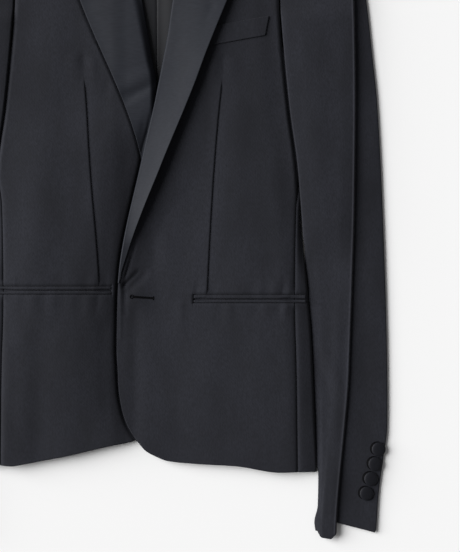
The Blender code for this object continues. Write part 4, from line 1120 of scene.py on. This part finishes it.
@made_once
def silk_satin(name):
    """Silk satin, woven with long floats and calendered smooth.

    To the eye: darker than the wool where it faces away from the light, with a soft, wide and
    slightly cold sheen where it doesn't. The floats are 0.1 mm wide and are drawn 0.7 mm wide,
    running across the lapel, so that they show.
    """
    material, tree, shader, place = new_surface(name, {
        "IOR": 1.54, "Specular IOR Level": 0.14, "Anisotropic": 0.4})
    turned = add_node(tree, "ShaderNodeMapping",
                      {"Rotation": (0.0, 0.0, 0.35), "Scale": (0.12, 1.0, 1.0)}, place)
    floats = add_node(tree, "ShaderNodeTexNoise", {"Scale": 900.0, "Detail": 2.0},
                      {"Vector": turned.outputs["Vector"]})
    cloud = add_node(tree, "ShaderNodeTexNoise", {"Scale": 40.0, "Detail": 2.0}, place)
    finish_surface(tree, shader, ((floats, 0.25, 0.00006), (cloud, 0.25, 0.0006)),
                   bpy.context.scene.tuxedo_cloth.satin, floats, (0.3, 0.7, 0.88, 1.12),
                   cloud, (0.6, 0.7))
    return material


@made_once
def drawn_button_cloth(name):
    """Black ribbed silk drawn tightly over a button mould.

    To the eye: a matt black dome with a fine cross-rib. The ribs are 0.4 mm apart and are drawn
    1 mm apart.
    """
    material, tree, shader, place = new_surface(name, {"IOR": 1.54, "Specular IOR Level": 0.2})
    rib = add_node(tree, "ShaderNodeTexWave", {"Scale": 314.0, "Distortion": 0.6, "Detail": 1.0,
                                               "bands_direction": "Y"}, place)
    fleck = add_node(tree, "ShaderNodeTexNoise", {"Scale": 800.0, "Detail": 2.0}, place)
    finish_surface(tree, shader, ((rib, 0.3, 0.0001),),
                   bpy.context.scene.tuxedo_cloth.button, fleck, (0.3, 0.7, 0.85, 1.15),
                   fleck, (0.55, 0.7))
    return material


@made_once
def viscose_twill_lining(name):
    """Viscose twill lining, the wrong side of the wool behind it showing as a matt dark grey.

    To the eye: as dark as the wool, smoother, with a faint steep rib. The twill's lines are
    0.5 mm apart and are drawn 1.6 mm apart.
    """
    material, tree, shader, place = new_surface(name, {"IOR": 1.5, "Specular IOR Level": 0.25})
    rib = add_node(tree, "ShaderNodeTexWave", {"Scale": 278.0, "Distortion": 0.8, "Detail": 1.0,
                                               "bands_direction": "DIAGONAL"}, place)
    cloud = add_node(tree, "ShaderNodeTexNoise", {"Scale": 60.0, "Detail": 3.0}, place)
    finish_surface(tree, shader, ((rib, 0.2, 0.0001),),
                   bpy.context.scene.tuxedo_cloth.lining, cloud, (0.3, 0.7, 0.9, 1.1),
                   cloud, (0.5, 0.62))
    return material


@made_once
def silk_buttonhole_twist(name):
    """Silk buttonhole twist, a tightly spun thread laid in purl stitches.

    To the eye: small dark knots that catch the light along their tops. The ply is 0.3 mm and is
    drawn at 0.6 mm. Its near-black also paints shade: on the sleeve buttons' stays and on the
    cord down the buttonhole's slit.
    """
    material, tree, shader, place = new_surface(name, {
        "Roughness": 0.7, "IOR": 1.54, "Specular IOR Level": 0.06})
    ply = add_node(tree, "ShaderNodeTexNoise", {"Scale": 1600.0, "Detail": 1.0}, place)
    finish_surface(tree, shader, ((ply, 0.4, 0.0001),),
                   bpy.context.scene.tuxedo_cloth.thread, ply, (0.3, 0.7, 0.8, 1.2))
    return material


@made_once
def matt_painted_board(name):
    """Board with a rolled coat of matt emulsion.

    To the eye: an even pale ground with no gloss. The roller's stipple is about 1 mm.
    """
    material, tree, shader, place = new_surface(name, {
        "Base Color": (*bpy.context.scene.tuxedo_stage.floor, 1.0), "Roughness": 0.9,
        "Specular IOR Level": 0.1})
    stipple = add_node(tree, "ShaderNodeTexNoise", {"Scale": 900.0, "Detail": 2.0}, place)
    finish_surface(tree, shader, ((stipple, 0.05, 0.0001),))
    return material


# Slot of a piece's colour, and the materials of its right and wrong side.
WOOL = ("worsted_wool", (pressed_worsted_wool, viscose_twill_lining))
FACING = ("satin", (silk_satin, pressed_worsted_wool))
SATIN = ("satin", (silk_satin, silk_satin))
# A button's wrong side is the near-black twist; round the sleeve buttons' stays it is painted
# shade.
COVERED = ("button_cover", (drawn_button_cloth, silk_buttonhole_twist))
STITCHED = ("button_cover", (silk_buttonhole_twist,))


# ---------------------------------------------------------------- settings

def colour_setting(name, description, code):
    """A colour in the sidebar, from its sRGB code."""
    return FloatVectorProperty(name=name, description=description, subtype="COLOR", size=3,
                               min=0.0, max=1.0, default=from_hex(code))


class TuxedoClothSettings(PropertyGroup):
    """Colours and softness of the cloth."""
    wool: colour_setting("Wool", "Colour of the worsted wool", "202127")
    satin: colour_setting("Satin", "Colour of the lapels and collar", "22242A")
    button: colour_setting("Button cover", "Colour of the covered buttons", "121319")
    lining: colour_setting("Lining", "Colour of the inside", "16171B")
    # The thread's near-black also colours the sleeve buttons' stays and the cord down the
    # buttonhole's slit, where it is painted shade.
    thread: colour_setting("Buttonhole thread", "Colour of the purl stitches", "060608")
    folds: FloatProperty(name="Folds", description="Strength of the soft folds in the cloth",
                         subtype="FACTOR", min=0.0, max=1.5, default=1.0)


class TuxedoTrimSettings(PropertyGroup):
    """Sizes of the buttons."""
    sleeve_button: FloatProperty(
        name="Sleeve button radius", description="Radius of a sleeve button", unit="LENGTH",
        min=0.005, max=0.009, default=BUTTON_RADIUS * METRES)
    front_button: FloatProperty(
        name="Front button radius", description="Radius of the front button", unit="LENGTH",
        min=0.007, max=0.011, default=FRONT_BUTTON_RADIUS * METRES)
    tilt: FloatProperty(
        name="Button tilt", description="How far the sleeve buttons lean outwards",
        subtype="ANGLE", min=0.0, max=math.radians(15), default=math.radians(BUTTON_TILT))


class TuxedoStageSettings(PropertyGroup):
    """Floor, light and camera."""
    floor: colour_setting("Floor", "Colour of the surface", "EDEDED")
    key: FloatProperty(name="Key light", description="Strength of the large soft light",
                       min=0.0, max=10.0, default=6.1)
    softness: FloatProperty(
        name="Light's spread", description="Width of the light as seen from the jacket",
        subtype="ANGLE", min=0.0, max=math.radians(90), default=math.radians(52))
    fill: FloatProperty(name="Fill light", description="Strength of the light from all round",
                        min=0.0, max=3.0, default=0.16)
    distance: FloatProperty(
        name="Camera height", description="Height of the camera over the jacket",
        unit="LENGTH", min=0.8, max=5.0, default=1.61)


# ---------------------------------------------------------------- operators

class TUXEDO_OT_fronts(Operator):
    """Builds the two fronts, each with its long dart"""
    bl_idname = "tuxedo.fronts"
    bl_label = "Fronts"

    def execute(self, context):
        over = front_grid(1, OVER_EDGE, OVER_HEM, OVER_DART, OVER_POCKET, over_height, 0.84)
        under = front_grid(-1, UNDER_EDGE, UNDER_HEM, UNDER_DART, UNDER_POCKET, under_height, 0.75)
        wall("left_front", "front_left", WOOL, over, FRONT_WALL, 1)
        wall("right_front", "front_right", WOOL, under, FRONT_WALL, -1)
        return {"FINISHED"}


class TUXEDO_OT_side_panels(Operator):
    """Builds the two side panels, which turn round the sides of the body"""
    bl_idname = "tuxedo.side_panels"
    bl_label = "Side panels"

    def execute(self, context):
        turned = {**UNDER_POCKET, "x": tuple(-x for x in reversed(UNDER_POCKET["x"]))}
        left = side_grid(0.0, 0.0, OVER_POCKET, over_height)
        right = side_grid(LEFT_SEAM_SHIFT, UNDER_HEM[0][1], turned,
                          lambda x, y: under_height(-x, y))
        wall("left_side_panel", "side_panel_left", WOOL, left, BODY_WALL, 1)
        wall("right_side_panel", "side_panel_right", WOOL, mirrored(right), BODY_WALL, -1)
        return {"FINISHED"}


class TUXEDO_OT_backs(Operator):
    """Builds the two backs, which lie flat on the surface and meet at the centre-back seam"""
    bl_idname = "tuxedo.backs"
    bl_label = "Backs"

    def execute(self, context):
        wall("left_back", "back_left", WOOL, back_grid(1), BODY_WALL, -1)
        wall("right_back", "back_right", WOOL, back_grid(-1), BODY_WALL, 1)
        return {"FINISHED"}


class TUXEDO_OT_lapels(Operator):
    """Builds the two satin peak lapels, which roll out of the fronts"""
    bl_idname = "tuxedo.lapels"
    bl_label = "Lapels"

    def execute(self, context):
        over = lapel_grid(1, OVER_EDGE, OVER_LAPEL, OVER_LIFT, over_height, OVER_LAPEL_FOLDS)
        under = lapel_grid(-1, UNDER_EDGE, UNDER_LAPEL, UNDER_LIFT, under_height,
                           UNDER_LAPEL_FOLDS)
        wall("left_lapel", "lapel_left", FACING, over, FACING_WALL, 1)
        wall("right_lapel", "lapel_right", FACING, under, FACING_WALL, -1)
        return {"FINISHED"}


class TUXEDO_OT_collar(Operator):
    """Builds the satin collar, its stand inside and its fall outside"""
    bl_idname = "tuxedo.collar"
    bl_label = "Collar"

    def execute(self, context):
        wall("satin_collar", "collar", SATIN, collar_grid(), COLLAR_WALL, 1)
        return {"FINISHED"}


class TUXEDO_OT_sleeves(Operator):
    """Builds the top and under sleeves, folded along a lengthwise pleat"""
    bl_idname = "tuxedo.sleeves"
    bl_label = "Sleeves"

    def execute(self, context):
        layers = (("top_sleeve", sleeve_grid(sleeve_section, TOP_CUFF, 1.0), -1),
                  ("under_sleeve", sleeve_grid(under_section, UNDER_CUFF, 0.0), 1))
        for side, turn, sign in (("left", np.asarray, 1), ("right", mirrored, -1)):
            for layer, grid, outward in layers:
                wall(f"{side}_{layer}", f"{layer}_{side}", WOOL, turn(grid), SLEEVE_WALL,
                     sign * outward)
        return {"FINISHED"}


class TUXEDO_OT_pockets(Operator):
    """Builds the jets of the hip pockets, the breast welt and the buttonhole's stitches"""
    bl_idname = "tuxedo.pockets"
    bl_label = "Pockets and buttonhole"

    def execute(self, context):
        for side, pocket, height in (("left", OVER_POCKET, over_height),
                                     ("right", UNDER_POCKET, under_height)):
            for part, low, high, gapes in (
                    ("lower", pocket["low"] + JET_INSET, pocket["slit"] - SLIT / 2, -1),
                    ("upper", pocket["slit"] + SLIT / 2, pocket["high"] - JET_INSET, 1)):
                wall(f"{side}_pocket_{part}_jet", f"pocket_{side}_{part}_jet", WOOL,
                     jet_grid(pocket, height, low, high, gapes), JET_WALL, 1)
        wall("chest_welt", "breast_welt", WOOL, welt_grid(), JET_WALL, 1)
        buttonhole("buttonhole_stitches")
        return {"FINISHED"}


class TUXEDO_OT_buttons(Operator):
    """Builds four covered buttons on each sleeve and the one under the lap"""
    bl_idname = "tuxedo.buttons"
    bl_label = "Buttons"

    def execute(self, context):
        trim = context.scene.tuxedo_trim
        for number, (x, y) in enumerate(SLEEVE_BUTTONS, start=1):
            base = REST + max(outer_strip_top(x + reach, y) - (BUTTON_RADIUS - reach)
                              * math.tan(trim.tilt) for reach in UNDER_BUTTON)
            for side, sign in (("left", 1), ("right", -1)):
                covered_button(f"{side}_sleeve_button_{number}", f"sleeve_button_{side}_{number}",
                               (sign * x, y, base), trim.sleeve_button / METRES, BUTTON_HEIGHT,
                               trim.tilt)
        x, y = FRONT_BUTTON
        across = x + FRONT_BUTTON_RADIUS * np.array((1, 0, -1))
        top = FRONT_WALL / 2 + max(under_height(across, np.full(3, y)))
        covered_button("hidden_front_button", "front_button", (x, y, top + REST),
                       trim.front_button / METRES, FRONT_BUTTON_HEIGHT, 0.0)
        return {"FINISHED"}


class TUXEDO_OT_cuts(Operator):
    """An empty step: it records nothing"""
    bl_idname = "tuxedo.cuts"
    bl_label = "Cloth sizes"

    def execute(self, context):
        return {"FINISHED"}


class TUXEDO_OT_stage(Operator):
    """Sets out the pale surface, the soft light from the upper left and the camera overhead"""
    bl_idname = "tuxedo.stage"
    bl_label = "Surface, light and camera"

    def execute(self, context):
        scene = context.scene
        settings = scene.tuxedo_stage
        mesh = bpy.data.meshes.new("surface")
        corners = [(x * SURFACE_REACH, y * SURFACE_REACH, SURFACE_Z)
                   for x, y in ((-1, -1), (1, -1), (1, 1), (-1, 1))]
        mesh.from_pydata(corners, [], [(0, 1, 2, 3)])
        mesh.materials.append(matt_painted_board())
        surface = bpy.data.objects.new("surface", mesh)
        scene.collection.objects.link(surface)

        light = bpy.data.lights.new("window_light", "SUN")
        light.energy = settings.key
        light.angle = settings.softness
        lamp = bpy.data.objects.new("window_light", light)
        lamp.rotation_euler = [math.radians(angle) for angle in LIGHT_TURN]
        scene.collection.objects.link(lamp)

        world = bpy.data.worlds.new("white_room")
        world.use_nodes = True
        background = world.node_tree.nodes["Background"]
        background.inputs["Color"].default_value = (1.0, 1.0, 1.0, 1.0)
        background.inputs["Strength"].default_value = settings.fill
        scene.world = world
        scene.view_settings.view_transform = "Standard"

        camera = bpy.data.cameras.new("overhead_camera")
        camera.lens = LENS
        camera.sensor_width = 36.0
        eye = bpy.data.objects.new("overhead_camera", camera)
        eye.location = (*CAMERA_XY, CLOTH_Z + settings.distance)
        scene.collection.objects.link(eye)
        scene.camera = eye
        return {"FINISHED"}


class TUXEDO_PT_panel(Panel):
    """Lists the steps that build the jacket"""
    bl_idname = "TUXEDO_PT_panel"
    bl_label = "Tuxedo Jacket"
    bl_space_type = "VIEW_3D"
    bl_region_type = "UI"
    bl_category = "Tuxedo"

    def draw(self, context):
        for name, group in GROUPS.items():
            box = self.layout.box()
            for setting in group.__annotations__:
                box.prop(getattr(context.scene, name), setting)
        for step in STEPS:
            self.layout.operator(step.bl_idname)


STEPS = (TUXEDO_OT_backs, TUXEDO_OT_side_panels, TUXEDO_OT_fronts, TUXEDO_OT_lapels,
         TUXEDO_OT_collar, TUXEDO_OT_sleeves, TUXEDO_OT_pockets, TUXEDO_OT_buttons,
         TUXEDO_OT_cuts, TUXEDO_OT_stage)
GROUPS = {"tuxedo_cloth": TuxedoClothSettings, "tuxedo_trim": TuxedoTrimSettings,
          "tuxedo_stage": TuxedoStageSettings}


def register():
    for group in GROUPS.values():
        bpy.utils.register_class(group)
    for name, group in GROUPS.items():
        setattr(bpy.types.Scene, name, PointerProperty(type=group))
    for step in STEPS + (TUXEDO_PT_panel,):
        bpy.utils.register_class(step)


def unregister():
    for step in reversed(STEPS + (TUXEDO_PT_panel,)):
        bpy.utils.unregister_class(step)
    for name, group in GROUPS.items():
        delattr(bpy.types.Scene, name)
        bpy.utils.unregister_class(group)


def main():
    register()
    for step in STEPS:
        group, name = step.bl_idname.split(".")
        getattr(getattr(bpy.ops, group), name)()
    bpy.context.view_layer.update()


if __name__ == "__main__":
    main()
